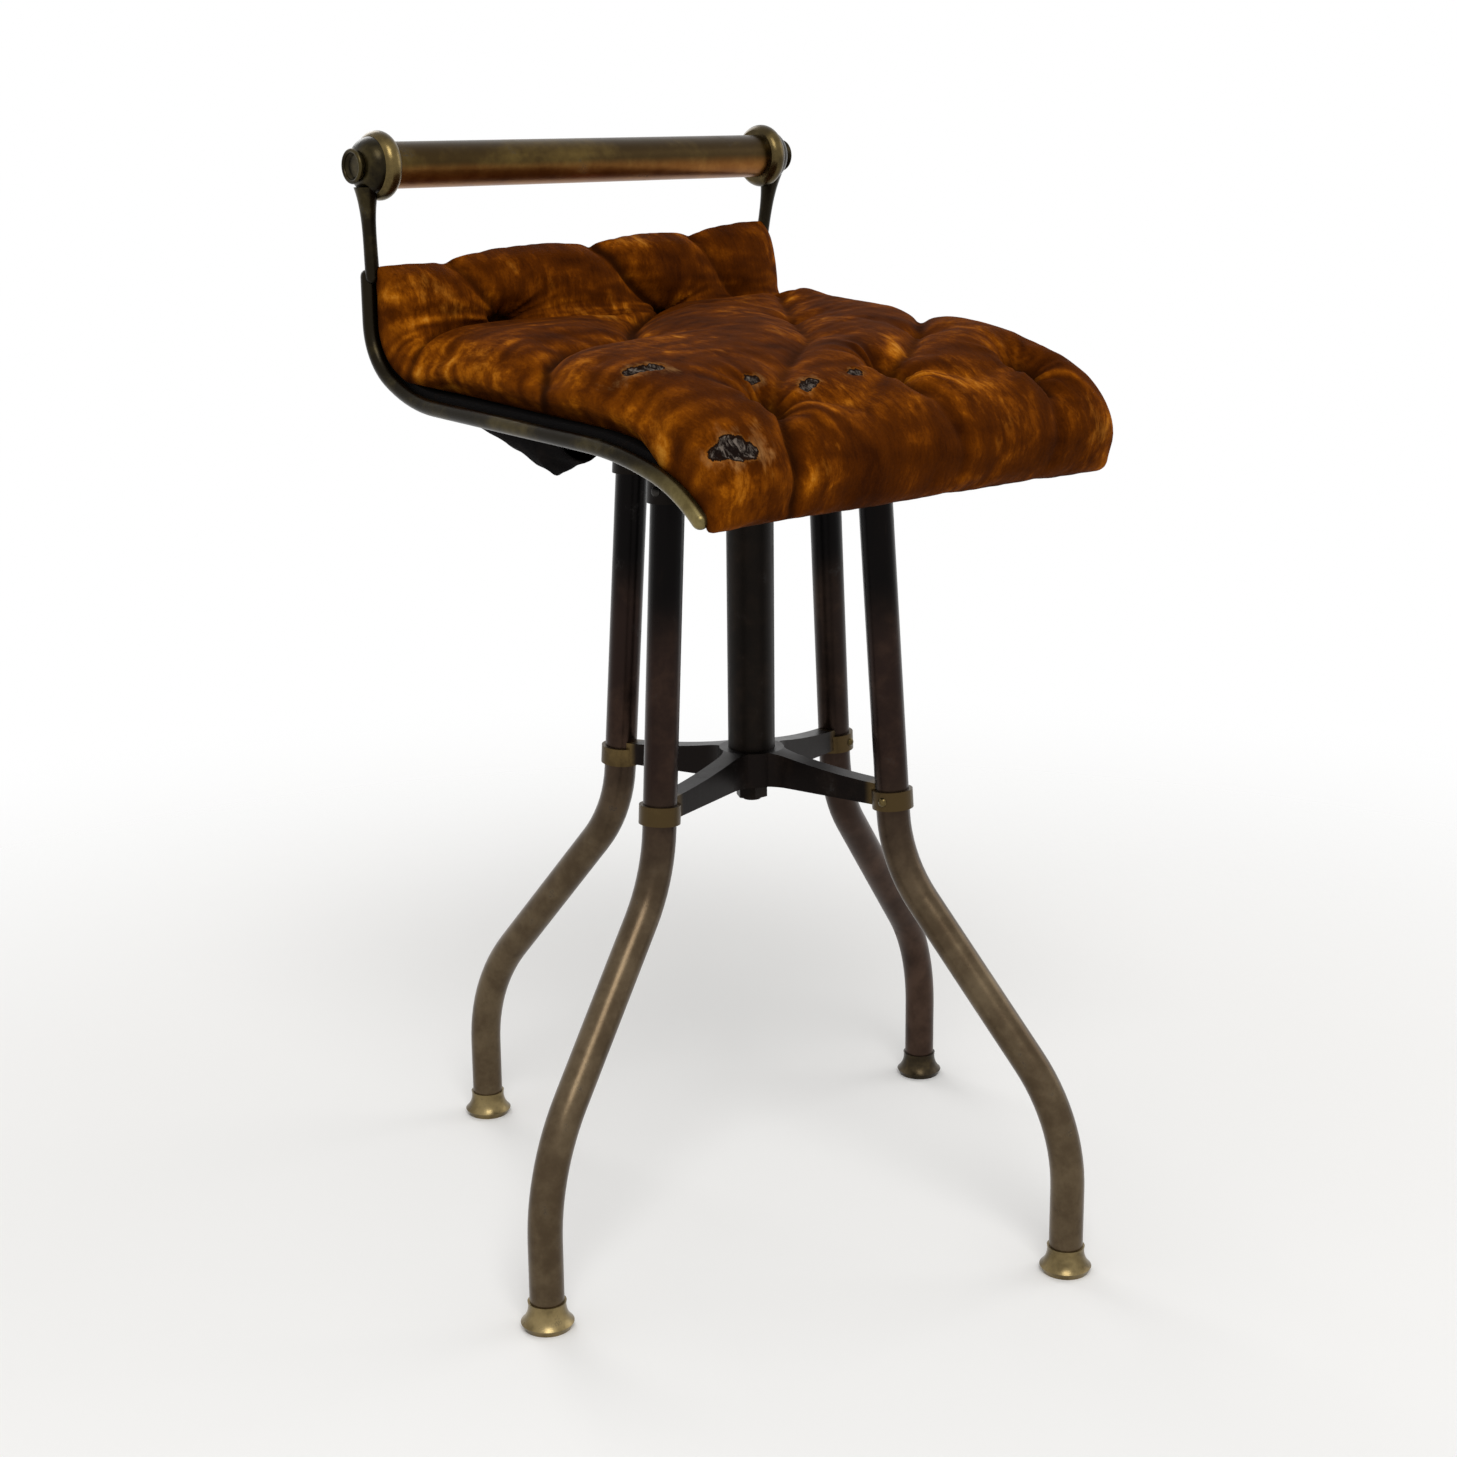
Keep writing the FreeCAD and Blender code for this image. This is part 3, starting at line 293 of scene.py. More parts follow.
# %% The brass finishes
LEG_BREAK = (0.34, 0.20)          # heights between which the legs turn from brown to worn
SEAT_SHADOW_HEIGHTS = (0.40, 0.45)               # and from brown to black, a painted shadow of the seat
UNDERSIDE_REFLECTION = (0.713, 0.703)        # where the handrail turns coppery, a painted reflection of the velvet
RAIL_TIP_HIGHLIGHT = (0.548, 0.524)         # where the rails' front tips turn bright, a painted highlight
finish = {
    "leg": old_brass("leg_brass", "241915", "3a2a21", "140f0c", roughness=0.31, drop=LEG_BREAK,
                     low=("493c2c", "625440"), seat_shadow=SEAT_SHADOW_HEIGHTS),
    # painted shade: the far leg and its foot stand in shadow, so they get darker copies of the leg
    # and foot brass
    "shaded_leg": old_brass("shaded_leg_brass", "211814", "36281f", "120d0b", drop=LEG_BREAK,
                          low=("33261f", "4a392f"), seat_shadow=SEAT_SHADOW_HEIGHTS),
    "shaded_foot": old_brass("shaded_foot_brass", "2b241a", "5a4c33", "15110b", roughness=0.34),
    "column": old_brass("column_brass", "130f0c", "221a14", "0b0907", roughness=0.44),
    "foot": old_brass("foot_brass", "584b31", "8b7a54", "2e2617", rub=(0.38, 0.62),
                      roughness=0.30),
    # painted highlight: the rails' front tips are brighter below their drop
    "rail": old_brass("rail_brass", "1c170d", "483e23", "0f0c07", rub=(0.48, 0.72), roughness=0.31,
                      drop=RAIL_TIP_HIGHLIGHT, low=("564b2c", "8a7c52"), stretch=(1.0, 0.08, 1.0)),
    # painted reflection: the handrail's underside turns coppery from the velvet below it
    "hand": old_brass("hand_brass", "35270f", "55441f", "1c150a", roughness=0.34, drop=UNDERSIDE_REFLECTION,
                      low=("784a1c", "976730"), stretch=(0.05, 1.0, 1.0)),
    "bright": old_brass("bright_brass", "3c321d", "74633c", "1d170e", rub=(0.40, 0.66),
                        roughness=0.27),
    "casting": old_brass("casting_brass", "120d0b", "241b15", "0a0806", rub=(0.50, 0.74),
                         roughness=0.38, outer=("453720", "6e5b38")),
}
print("brass finishes", list(finish))

# %% [markdown]
# The screw, its nuts and its washers are plain steel and iron in the dark under the seat. Two
# short recipes give them oil stains and a little rust.


# %% Steel and iron
def worked_steel(name, clean, stain, roughness):
    """Turned steel with oil stains and fine tool marks round it."""
    material, tree, place = start_finish(name)
    slow = grain(tree, place, 40.0, 4.0, 0.6)
    marks = grain(tree, place, 1500.0, 2.0, 0.5, (0.1, 0.1, 1.0))
    rust = slow.step(0.46, 0.66)
    end_finish(tree, {"Base Color": rust.mix(rgb(clean), rgb(stain)), "Metallic": 0.95 - rust * 0.4,
                      "Roughness": roughness + rust * 0.25,
                      "Normal": bump(tree, marks * 0.6 + slow * 0.4, 0.0003, 0.3)})
    return material


finish["steel"] = worked_steel("worked_steel", "77746d", "4a3a2a", 0.34)
finish["iron"] = worked_steel("seat_iron", "35322f", "3f2b1c", 0.55)
print("steel and iron")

# %% [markdown]
# ## The board
# The seat board is bent wood under black paint, and only its edge shows between rail and pad.


# %% Board finish
def painted_board():
    """Black paint on bent wood, rubbed through to brown along the grain."""
    material, tree, place = start_finish("painted_board")
    fibre = grain(tree, place, 160.0, 4.0, 0.6, (0.08, 1.0, 1.0))
    slow = grain(tree, place, 22.0, 3.0)
    bare = (fibre * 0.6 + slow * 0.4).step(0.60, 0.74)
    end_finish(tree, {"Base Color": bare.mix(rgb("060404"), rgb("150d08")),
                      "Roughness": 0.8 + fibre * 0.15, "Specular IOR Level": 0.1,
                      "Normal": bump(tree, fibre, 0.0006, 0.4)})
    return material


finish["board"] = painted_board()
print("board finish")

# %% [markdown]
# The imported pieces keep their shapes, and each gets the finish of its real counterpart.

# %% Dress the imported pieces
DRESSED = {
    "leg": ("leg_back", "leg_left", "leg_front"),
    # the far leg and foot get the darker copies, which are painted shade
    "shaded_leg": ("leg_right",),
    "foot": ("foot_back", "foot_left", "foot_front"),
    "shaded_foot": ("foot_right",),
    "casting": ("stretcher_spider",),
    "column": ("column_tube", "column_nut", "crown", "stud_nut", "column_plug"),
    "rail": ("side_rail_left", "side_rail_right", "end_cup_left", "end_cup_right", "tie_rod"),
    "hand": ("handrail_tube",),
    "bright": ("handrail_collar_left", "handrail_collar_right", "ring_pins"),
    "steel": ("screw_spindle", "end_washer", "end_nut", "guide_bush"),
    "iron": ("seat_plate", "spindle_pin", "plate_screws", "lug_screws", "crown_pins"),
    "board": ("seat_board",),
}
for name, pieces in DRESSED.items():
    for piece in pieces:
        node[piece].data.materials.clear()
        node[piece].data.materials.append(finish[name])
print("dressed", sum(len(pieces) for pieces in DRESSED.values()), "packed pieces")

# %% [markdown]
# ## The seat line
# Rails, board, pad and lining all follow one line in the side view: straight down the back, round
# two bends, flat, and over the front. It is laid as spans, like a bent strip, and gives a point
# and a square direction at any length from the back's top.

# %% The seat line
MM = 0.001
SEAT_TOP = (181.5 * MM, 640.0 * MM)
SEAT_SLOPE = math.radians(3.0)
SEAT_MIDDLE_Z = 553.2 * MM
BACK_BENDS = ((42.0 * MM, math.radians(60.0)), (110.0 * MM, math.radians(27.0)))
FRONT_FLAT_Y = 43.5 * MM
FRONT_BENDS = ((260.0 * MM, math.radians(-14.0)), (110.0 * MM, math.radians(-25.0)))
LINE_STEP = 0.5 * MM
LINE_OVER = 40 * MM          # how far the line runs on past both ends


def seat_spans():
    """Lengths and curvatures of the line's spans, from the back's top to the front tip."""
    (r1, turn1), (r2, _) = BACK_BENDS
    end1 = math.pi / 2 - turn1
    flat_y = SEAT_TOP[0] - r1 * (1 - math.sin(end1))
    flat_y -= r2 * (math.sin(end1) - math.sin(SEAT_SLOPE))
    flat_z = SEAT_MIDDLE_Z + flat_y * math.tan(SEAT_SLOPE)
    bend_z = flat_z + r2 * (math.cos(SEAT_SLOPE) - math.cos(end1)) + r1 * math.cos(end1)
    spans = [(SEAT_TOP[1] - bend_z, 0.0)]
    spans += [(r * turn, 1 / r) for r, turn in BACK_BENDS]
    spans.append(((flat_y + FRONT_FLAT_Y) / math.cos(SEAT_SLOPE), 0.0))
    spans += [(r * abs(turn), -1 / r) for r, turn in FRONT_BENDS]
    return spans


SPANS = seat_spans()
SEAT_LENGTH = sum(length for length, bend in SPANS)
FLAT_START = sum(length for length, bend in SPANS[:3])
span_ends = np.cumsum([length for length, bend in SPANS])
line_s = np.arange(-LINE_OVER, SEAT_LENGTH + LINE_OVER, LINE_STEP)
span_at = np.minimum(np.searchsorted(span_ends, line_s), len(SPANS) - 1)
bend_at = np.array([SPANS[i][1] for i in span_at])
bend_at[line_s < 0] = 0.0
heading = np.cumsum(bend_at) * LINE_STEP - math.pi / 2
line_y = -np.cumsum(np.cos(heading)) * LINE_STEP
line_z = np.cumsum(np.sin(heading)) * LINE_STEP
line_y += SEAT_TOP[0] - np.interp(0.0, line_s, line_y)
line_z += SEAT_TOP[1] - np.interp(0.0, line_s, line_z)
rise_y, rise_z = np.sin(heading), np.cos(heading)
print("seat line %.1f mm, flat from %.1f mm" % (SEAT_LENGTH / MM, FLAT_START / MM))


def seat_places(x, s, h, fan=0.0):
    """Points at x, at a length s along the line and at a height h over it, square to the line.

    With a fan, the square direction is averaged over that length, so thick things don't fold."""
    y_of, z_of = rise_y, rise_z
    if fan:
        wide = int(fan / LINE_STEP)
        window = np.ones(wide) / wide
        y_of = np.convolve(np.pad(rise_y, wide, "edge"), window, "same")[wide:-wide]
        z_of = np.convolve(np.pad(rise_z, wide, "edge"), window, "same")[wide:-wide]
    up_y, up_z = np.interp(s, line_s, y_of), np.interp(s, line_s, z_of)
    size = np.hypot(up_y, up_z)
    y = np.interp(s, line_s, line_y) + up_y / size * h
    z = np.interp(s, line_s, line_z) + up_z / size * h
    return np.stack([x, y, z], axis=-1)


# %% [markdown]
# ## The pad
# The pad is horsehair under velvet, pulled down by stitches, five of them deep, and creased between
# them in long slanting folds. It starts as a box of even quads, laid in flat measures: across,
# along the seat line and up. Tufts and creases press the top down, and the box is then laid on
# the seat line. Cloth with a little pressure blows it up between its stitches, as stuffing does.

# %% Tufts and creases, in mm across and along
PAD_HALF = 168.0
PAD_BACK, PAD_FRONT = -12.0, 399.0
TUFTS = {
    "back_left": (-87, 46), "back_middle": (52, 57),
    "front_left": (-92, 345), "front_middle": (22, 332), "front_right": (125, 348),
}
PUCKERS = {"left": (-62, 192), "right": (77, 194), "front": (109, 282), "back": (140, 100)}
CREASES = (                  # places along each, its depth and its half width
    (("back_left", (-104, 22), (-118, -14)), 8, 24),
    (("back_middle", (24, 20), (4, -14)), 11, 28),
    (("back", (120, 46), (106, 18), (96, -14)), 7, 24),
    (("back", (172, 106)), 6, 24),
    (("back_left", (-140, 64), (-172, 92)), 8, 26),
    (("back_left", (-50, 84), (-8, 84), "back_middle"), 4, 34),
    (("back_middle", (92, 92), "back"), 5, 32),
    (("back_middle", (-30, 150), "left", (-126, 204), (-160, 226), (-172, 240)), 11, 26),
    (("back", (112, 150), "right", (28, 262), (-42, 312), "front_left"), 7, 26),
    (("front_middle", (56, 318), "front", (172, 226)), 8, 26),
    (("front_left", (-42, 364), "front_middle"), 4, 26),
    (("front_middle", (64, 356), "front_right"), 4, 28),
    (("front_left", (-110, 378), (-114, 400)), 10, 22),
    (("front_middle", (20, 376), (24, 400)), 4, 22),
    (("front_middle", (18, 354)), 12, 22),
    (("front_right", (120, 368)), 12, 22),
    (("front_right", (112, 382), (108, 400)), 4, 22),
    (("front_right", (140, 340), (150, 334)), 2, 18),
)
CREST_AT = (0, 40, 100, 170, 210, 260, 320, 365, 400)
CREST = (42, 44, 50, 53, 53, 53, 52, 51, 48)
CREST_LEAN = 0.10            # the right side stands so much higher, and the left lower
RIGHT_THIN, RIGHT_THIN_TO = 0.30, 95.0
RIGHT_FULL, RIGHT_FULL_AT, RIGHT_FULL_WIDTH = 0.20, 105.0, 40.0
BACK_VALLEYS = (-118, 4, 96)
BACK_PUFFS = (4.0, 9.0, 8.0, 8.0)
BACK_LEVEL = (-1.0, -15.0)   # the back's edge, left and right
PUFF_OVER = 20.0             # how far the outer puffs reach past the sides
FRONT_VALLEYS = (-114, 24, 108)
FRONT_DROOPS = (3.0, 2.6, 2.2, 3.0)
BACK_ROLL, FRONT_ROLL, SIDE_ROLL = 34.0, 36.0, 28.0
END_FOOT, SIDE_FOOT = 0.42, 0.72
PAD_FLOOR = 8.6
PAD_LEAST = 6.0
SIDE_GAP = (86, 126, 318, 346)   # where the sides come free of the rails, and meet them again
SIDE_LOW, SIDE_FREE = 5.2, 6.5
SIDE_BELLY, SIDE_OUT, SIDE_IN = 3.5, 2.0, 6.0
FRONT_BELLY, FRONT_IN, BACK_BELLY = 4.0, 1.0, 2.0
LIP_FROM, LIP_OVER, LIP_DROP = 384, 10, 6.0
EDGE_PRESS = 0.3             # share of a press that is left at the pad's edges
TUFT_DEPTH, TUFT_WIDTH, TUFT_POWER = 27.0, 26.0, 1.7
PUCKER_DEPTH = 14.0


def crease_lines():
    """The creases as lists of places, with the names of tufts and puckers looked up."""
    for line, depth, width in CREASES:
        yield [{**TUFTS, **PUCKERS}[p] if isinstance(p, str) else p for p in line], depth, width


def off_line(x, s, line):
    """How far places are from a line of points."""
    near = np.full(x.shape, 1e9)
    for (ax, a), (bx, b) in zip(line, line[1:]):
        dx, ds = bx - ax, b - a
        t = np.clip(((x - ax) * dx + (s - a) * ds) / (dx * dx + ds * ds), 0, 1)
        near = np.minimum(near, np.hypot(x - ax - t * dx, s - a - t * ds))
    return near


def pressed(x, s):
    """How far tufts and creases press the top down, in mm."""
    total = np.zeros(x.shape)
    for line, depth, width in crease_lines():
        total += (depth * np.clip(1 - off_line(x, s, line) / width, 0, 1) ** 2) ** 3
    for stitches, depth in ((TUFTS, TUFT_DEPTH), (PUCKERS, PUCKER_DEPTH)):
        for tx, ts in stitches.values():
            near = np.clip(1 - np.hypot(x - tx, s - ts) / TUFT_WIDTH, 0, 1)
            total += (depth * near ** TUFT_POWER) ** 3
    return total ** (1 / 3)


print("tufts", len(TUFTS), "creases", len(CREASES))


# %% The pad's box of quads
PAD_CELL = 4.2
PAD_LAYERS = 7


def along(bm, axis):
    """Edges that run along an axis."""
    return [e for e in bm.edges if abs((e.verts[0].co - e.verts[1].co).normalized()[axis]) > 0.99]


pad_cells = (round(2 * PAD_HALF / PAD_CELL), round((PAD_FRONT - PAD_BACK) / PAD_CELL), PAD_LAYERS)
pad_bm = bmesh.new()
bmesh.ops.create_cube(pad_bm, size=1.0)
for axis, cells in enumerate(pad_cells):
    bmesh.ops.subdivide_edges(pad_bm, edges=along(pad_bm, axis), cuts=cells - 1,
                              use_grid_fill=True)
print("pad box", len(pad_bm.verts), "points")


# %% The pad's shape in flat measures
def roll(distance, width):
    """1 away from an edge, falling to 0 at it as a quarter round does."""
    return np.sqrt(np.clip(1 - np.clip(1 - distance / width, 0, 1) ** 2, 0, 1))


def puffs(x, valleys, heights):
    """Round humps between valleys, in mm."""
    ends = (-PAD_HALF - PUFF_OVER, *valleys, PAD_HALF + PUFF_OVER)
    total = np.zeros(x.shape)
    for a, b, high in zip(ends, ends[1:], heights):
        hump = np.sqrt(np.clip(1 - (2 * (x - a) / (b - a) - 1) ** 2, 0, 1))
        total += np.where((x >= a) & (x < b), high * hump, 0.0)
    return total


def back_edge(x):
    """Where the pad ends above the back: it stands up in puffs between the valleys."""
    return np.interp(x, (-PAD_HALF, PAD_HALF), BACK_LEVEL) - puffs(x, BACK_VALLEYS, BACK_PUFFS)


def pad_shape(box):
    """Flat measures of the pad from its box: across, along, up, in mm."""
    across, run, up = box[:, 0] * 2, box[:, 1] + 0.5, box[:, 2] + 0.5
    x = across * PAD_HALF
    back = back_edge(x)
    s = back + run * (PAD_FRONT - back)
    right = np.clip(across, 0, 1) ** 2
    thin = RIGHT_THIN * right * np.clip(1 - s / RIGHT_THIN_TO, 0, 1)
    full = RIGHT_FULL * right * np.exp(-((s - RIGHT_FULL_AT) / RIGHT_FULL_WIDTH) ** 2)
    crest = np.interp(s, CREST_AT, CREST) * (1 + CREST_LEAN * across - thin + full)
    ends = roll(s - back, BACK_ROLL) * roll(PAD_FRONT - s, FRONT_ROLL)
    sides = roll(PAD_HALF - np.abs(x), SIDE_ROLL)
    top = crest * (END_FOOT + (1 - END_FOOT) * ends) * (SIDE_FOOT + (1 - SIDE_FOOT) * sides)
    top = top - pressed(x, s) * (EDGE_PRESS + (1 - EDGE_PRESS) * ends * sides)
    free = np.interp(s, SIDE_GAP, (0.0, 1.0, 1.0, 0.0))
    droop = LIP_DROP + puffs(x, FRONT_VALLEYS, FRONT_DROOPS)
    low = PAD_FLOOR - droop * np.clip((s - LIP_FROM) / LIP_OVER, 0, 1)
    edge = np.abs(across) ** 40
    low = low + edge * (free * SIDE_FREE + (1 - free) * np.minimum(0.0, SIDE_LOW - low))
    h = low + (np.maximum(top, low + PAD_LEAST) - low) * up
    belly = np.sin(np.pi * np.clip(up, 0, 1))
    side = np.abs(across) ** 12
    x = x + np.sign(x) * side * (SIDE_BELLY * belly + (1 - belly) * (SIDE_OUT - SIDE_IN * free))
    s = s + np.where(run > 0.999, FRONT_BELLY * belly - FRONT_IN, 0.0)
    s = s - np.where(run < 0.001, BACK_BELLY * belly, 0.0)
    return np.stack([x, s, h], axis=-1)


# %% Lay the pad on the seat line
PAD_FAN = 90 * MM


def store(mesh, name, values):
    """Keeps a value for each point in the mesh, for later steps and for the finish."""
    kept = mesh.attributes.new(name, "FLOAT", "POINT")
    kept.data.foreach_set("value", values.astype(np.float32))


box = np.array([v.co for v in pad_bm.verts])
flat = pad_shape(box)
places = seat_places(flat[:, 0] * MM, flat[:, 1] * MM, flat[:, 2] * MM, fan=PAD_FAN)
for vert, place in zip(pad_bm.verts, places):
    vert.co = place
pad_mesh = bpy.data.meshes.new("tufted_pad")
bmesh.ops.recalc_face_normals(pad_bm, faces=pad_bm.faces)
pad_bm.to_mesh(pad_mesh)
pad_bm.free()
store(pad_mesh, "across", flat[:, 0])
store(pad_mesh, "run", flat[:, 1])
store(pad_mesh, "up", box[:, 2] + 0.5)
pad = bpy.data.objects.new("tufted_pad", pad_mesh)
bpy.context.scene.collection.objects.link(pad)
print("pad laid from", places.min(0).round(4), "to", places.max(0).round(4))

# %% [markdown]
# The cloth is held at its bottom and at its tufts, and a little along its creases. It is cut
# slightly too large, so the pressure lifts it in puffs. No point may move far from where the
# shape put it.

# %% Blow up the pad
CLOTH_FRAMES = 20
CLOTH_PRESSURE = 4.0
CLOTH_SPARE = -0.006
CLOTH_STIFFNESS, CLOTH_BENDING = 20.0, 0.6
CLOTH_REACH = 3.5 * MM
BOTTOM_TO, TOP_FROM = 0.08, 0.9
HELD_TUFT, HELD_CREASE = 6, 3.2      # in mm
FULL_HOLD = 20                       # depth of a crease that would be held fast


def coordinates(mesh):
    found = np.zeros(len(mesh.vertices) * 3, np.float32)
    mesh.vertices.foreach_get("co", found)
    return found.reshape(-1, 3).astype(float)


def values_of(mesh, name):
    found = np.zeros(len(mesh.vertices), np.float32)
    mesh.attributes[name].data.foreach_get("value", found)
    return found.astype(float)


def blow_up(piece):
    """Runs the cloth and keeps its result in the mesh, within a reach of where it started."""
    x, s, up = (values_of(piece.data, name) for name in ("across", "run", "up"))
    hold = np.where(up < BOTTOM_TO, 1.0, 0.0)
    for tx, ts in TUFTS.values():
        near = (np.hypot(x - tx, s - ts) < HELD_TUFT) & (up > TOP_FROM)
        hold = np.maximum(hold, np.where(near, 1.0, 0.0))
    for line, depth, width in crease_lines():
        near = (off_line(x, s, line) < HELD_CREASE) & (up > TOP_FROM)
        hold = np.maximum(hold, np.where(near, depth / FULL_HOLD, 0.0))
    group = piece.vertex_groups.new(name="stitched")
    for i in np.nonzero(hold)[0]:
        group.add([int(i)], float(hold[i]), "REPLACE")
    before = coordinates(piece.data)
    cloth = piece.modifiers.new("cloth", "CLOTH")
    cloth.settings.vertex_group_mass = "stitched"
    cloth.settings.use_pressure = True
    cloth.settings.uniform_pressure_force = CLOTH_PRESSURE
    cloth.settings.shrink_min = CLOTH_SPARE
    cloth.settings.tension_stiffness = CLOTH_STIFFNESS
    cloth.settings.compression_stiffness = CLOTH_STIFFNESS
    cloth.settings.bending_stiffness = CLOTH_BENDING
    cloth.settings.effector_weights.gravity = 0.0
    cloth.collision_settings.use_collision = False
    cloth.point_cache.frame_end = CLOTH_FRAMES
    for step in range(1, CLOTH_FRAMES + 1):
        bpy.context.scene.frame_set(step)
    shaped = piece.evaluated_get(bpy.context.evaluated_depsgraph_get()).to_mesh()
    after = coordinates(shaped)
    move = after - before
    size = np.maximum(np.linalg.norm(move, axis=1, keepdims=True), 1e-9)
    move *= np.minimum(1.0, CLOTH_REACH / size)
    piece.modifiers.remove(cloth)
    piece.vertex_groups.remove(group)
    piece.data.vertices.foreach_set("co", (before + move).astype(np.float32).ravel())
    bpy.context.scene.frame_set(1)
    return float(size.max())


print("cloth moved at most %.1f mm" % (blow_up(pad) / MM))

# %% [markdown]
# One subdivision then gives enough points for what is smaller than the stuffing: the sharp line
# in each crease, the pleats that run out of each stitch, small wrinkles, and a few worn holes.


# %% Subdivide the pad
def keep_modifiers(piece):
    """Puts what the modifiers make into the mesh itself."""
    shaped = piece.evaluated_get(bpy.context.evaluated_depsgraph_get())
    made = bpy.data.meshes.new_from_object(shaped)
    piece.modifiers.clear()
    old = piece.data
    piece.data = made
    bpy.data.meshes.remove(old)


smooth = pad.modifiers.new("subdivision", "SUBSURF")
smooth.levels = smooth.render_levels = 1
keep_modifiers(pad)
pad.data.name = "tufted_pad"
print("pad", len(pad.data.vertices), "points")

# %% Sharp lines in the creases
FACE_FROM, FACE_OVER = 0.75, 0.2     # the upper layers of the box that are the cloth's face
CREASE_WANDER = 2.5
FOLD_WIDTH, FULL_FOLD = 3.6, 13
# the lips beside the creases, which get a painted highlight
LIP_AT, LIP_WIDTH, FULL_LIP = 8, 4.5, 11


def waves(x, y, z):
    """Smooth noise from -1 to 1 at each place."""
    return np.array([noise.noise(Vector(p)) for p in zip(*np.broadcast_arrays(x, y, z))])


x, s, up = (values_of(pad.data, name) for name in ("across", "run", "up"))
top = np.clip((up - FACE_FROM) / FACE_OVER, 0, 1)
fold, lip_highlight = np.zeros(x.shape), np.zeros(x.shape)
for line, depth, width in crease_lines():
    wander = CREASE_WANDER * waves(x / 30, s / 30, depth)
    off = off_line(x + wander, s - wander, line)
    fold = np.maximum(fold, depth / FULL_FOLD * np.exp(-(off / FOLD_WIDTH) ** 2))
    lip_highlight = np.maximum(lip_highlight, depth / FULL_LIP * np.exp(-((off - LIP_AT) / LIP_WIDTH) ** 2))
print("creases up to %.2f sharp" % fold.max())

# %% [markdown]
# Round each stitch the cloth is gathered, so pleats run out of it like rays. The nap, which says
# how far the pile lies over, follows the same rays. On the lips of the creases and the side walls
# it also carries painted highlights, where the light falls.

# %% Pleats and nap
RAY_LEVEL, RAY_HEIGHT, RAY_COUNT = 0.55, 2.2, 2.7
PLEAT_REACH, PLEAT_FROM = 30, 8
PINCH, PINCH_WIDTH = 1.4, 8
FAN_REACH, FAN_COUNT = 46, 4.6
# where the side walls begin, which get a painted highlight
WALL_FROM, WALL_WIDTH = 140, 24

pleat = np.zeros(x.shape)
nap = 0.8 * waves(x / 34, s / 10, 0.0) + 0.5 * waves(x / 13, s / 7, 1.0)
for i, (tx, ts) in enumerate(TUFTS.values()):
    r, turn = np.hypot(x - tx, s - ts), np.arctan2(s - ts, x - tx)
    c, d = np.cos(turn), np.sin(turn)
    ray = RAY_LEVEL - RAY_HEIGHT * np.abs(waves(c * RAY_COUNT, d * RAY_COUNT, 5.0 * i + r / 60))
    near = np.exp(-(r / PLEAT_REACH) ** 2)
    pleat += near * np.clip(r / PLEAT_FROM, 0, 1) * ray
    fold = np.maximum(fold, PINCH * np.exp(-(r / PINCH_WIDTH) ** 2))
    spread = np.exp(-(r / FAN_REACH) ** 2)
    fan = 1.3 * waves(c * FAN_COUNT, d * FAN_COUNT, 9.0 * i + r / 45) + 0.9 * ray
    nap = nap * (1 - spread) + spread * fan
side_wall_highlight = np.clip((np.abs(x) - WALL_FROM) / WALL_WIDTH, 0, 1)
broken = 0.5 + 0.5 * waves(x / 12, s / 12, 21.0)
# painted highlights: the crease lips and the side walls are brighter, where light falls on them
nap += (0.8 * lip_highlight + 1.1 * side_wall_highlight) * broken
print("nap from %.1f to %.1f" % (nap.min(), nap.max()))

# %% Worn holes, by place, half sizes and turn
HOLES = (
    ((-146, 299), (13, 6), 0.5), ((-154, 376), (14, 6), 0.1), ((-60, 342), (8, 4), -0.3),
    ((-18, 338), (6, 3), -0.2), ((-88, 326), (5, 3), 0.1),
)
HOLE_RAGGED = 0.45
HOLE_EDGE, HOLE_SLOPE = 1.15, 0.3
WORN_REACH = 2.6

bare, worn = np.zeros(x.shape), np.zeros(x.shape)
for (hx, hs), (a, b), turn in HOLES:
    dx, ds = x - hx, s - hs
    c, d = math.cos(turn), math.sin(turn)
    reach = np.hypot((dx * c + ds * d) / a, (ds * c - dx * d) / b)
    reach = reach + HOLE_RAGGED * waves(x / 9, s / 7, hx)
    bare = np.maximum(bare, top * np.clip((HOLE_EDGE - reach) / HOLE_SLOPE, 0, 1))
    worn = np.maximum(worn, top * np.exp(-(reach / WORN_REACH) ** 2))
print("holes", len(HOLES))

# %% Press them into the pad
FOLD_DEPTH, PLEAT_HEIGHT, WRINKLES = 2.6, 3.0, 0.25     # in mm
HOLE_DEPTH, HOLE_RIM = 2.4, 4.0

small = 0.55 * waves(x / 9, s / 9, 3.0) + 0.9 * waves(x / 24, s / 18, 7.0)
lift = top * (-FOLD_DEPTH * fold + PLEAT_HEIGHT * pleat + WRINKLES * small
              - HOLE_DEPTH * bare + HOLE_RIM * bare * (1 - bare))
normals = np.zeros(len(x) * 3, np.float32)
pad.data.vertices.foreach_get("normal", normals)
moved = coordinates(pad.data) + normals.reshape(-1, 3) * (lift * MM)[:, None]
pad.data.vertices.foreach_set("co", moved.astype(np.float32).ravel())
store(pad.data, "fold", fold)
store(pad.data, "nap", nap)
store(pad.data, "bare", bare)
store(pad.data, "worn", worn)
store(pad.data, "press", pressed(x, s) / TUFT_DEPTH)
pad.data.polygons.foreach_set("use_smooth", np.ones(len(pad.data.polygons), bool))
pad.data.update()
print("lift from %.1f to %.1f mm" % (lift.min(), lift.max()))

# %% [markdown]
# ## Velvet
# Crushed velvet is dark where one looks into its pile and bright where the pile lies over. The
# nap value that was stored with the pleats lays those streaks, and on the crease lips and side
# walls it adds painted highlights; finer noise breaks them up, and a sheen gives the bright edges.
# Rubbed crests go to tan, creases, stitches and the turned-under edge get painted shade, and the
# holes show grey wadding.

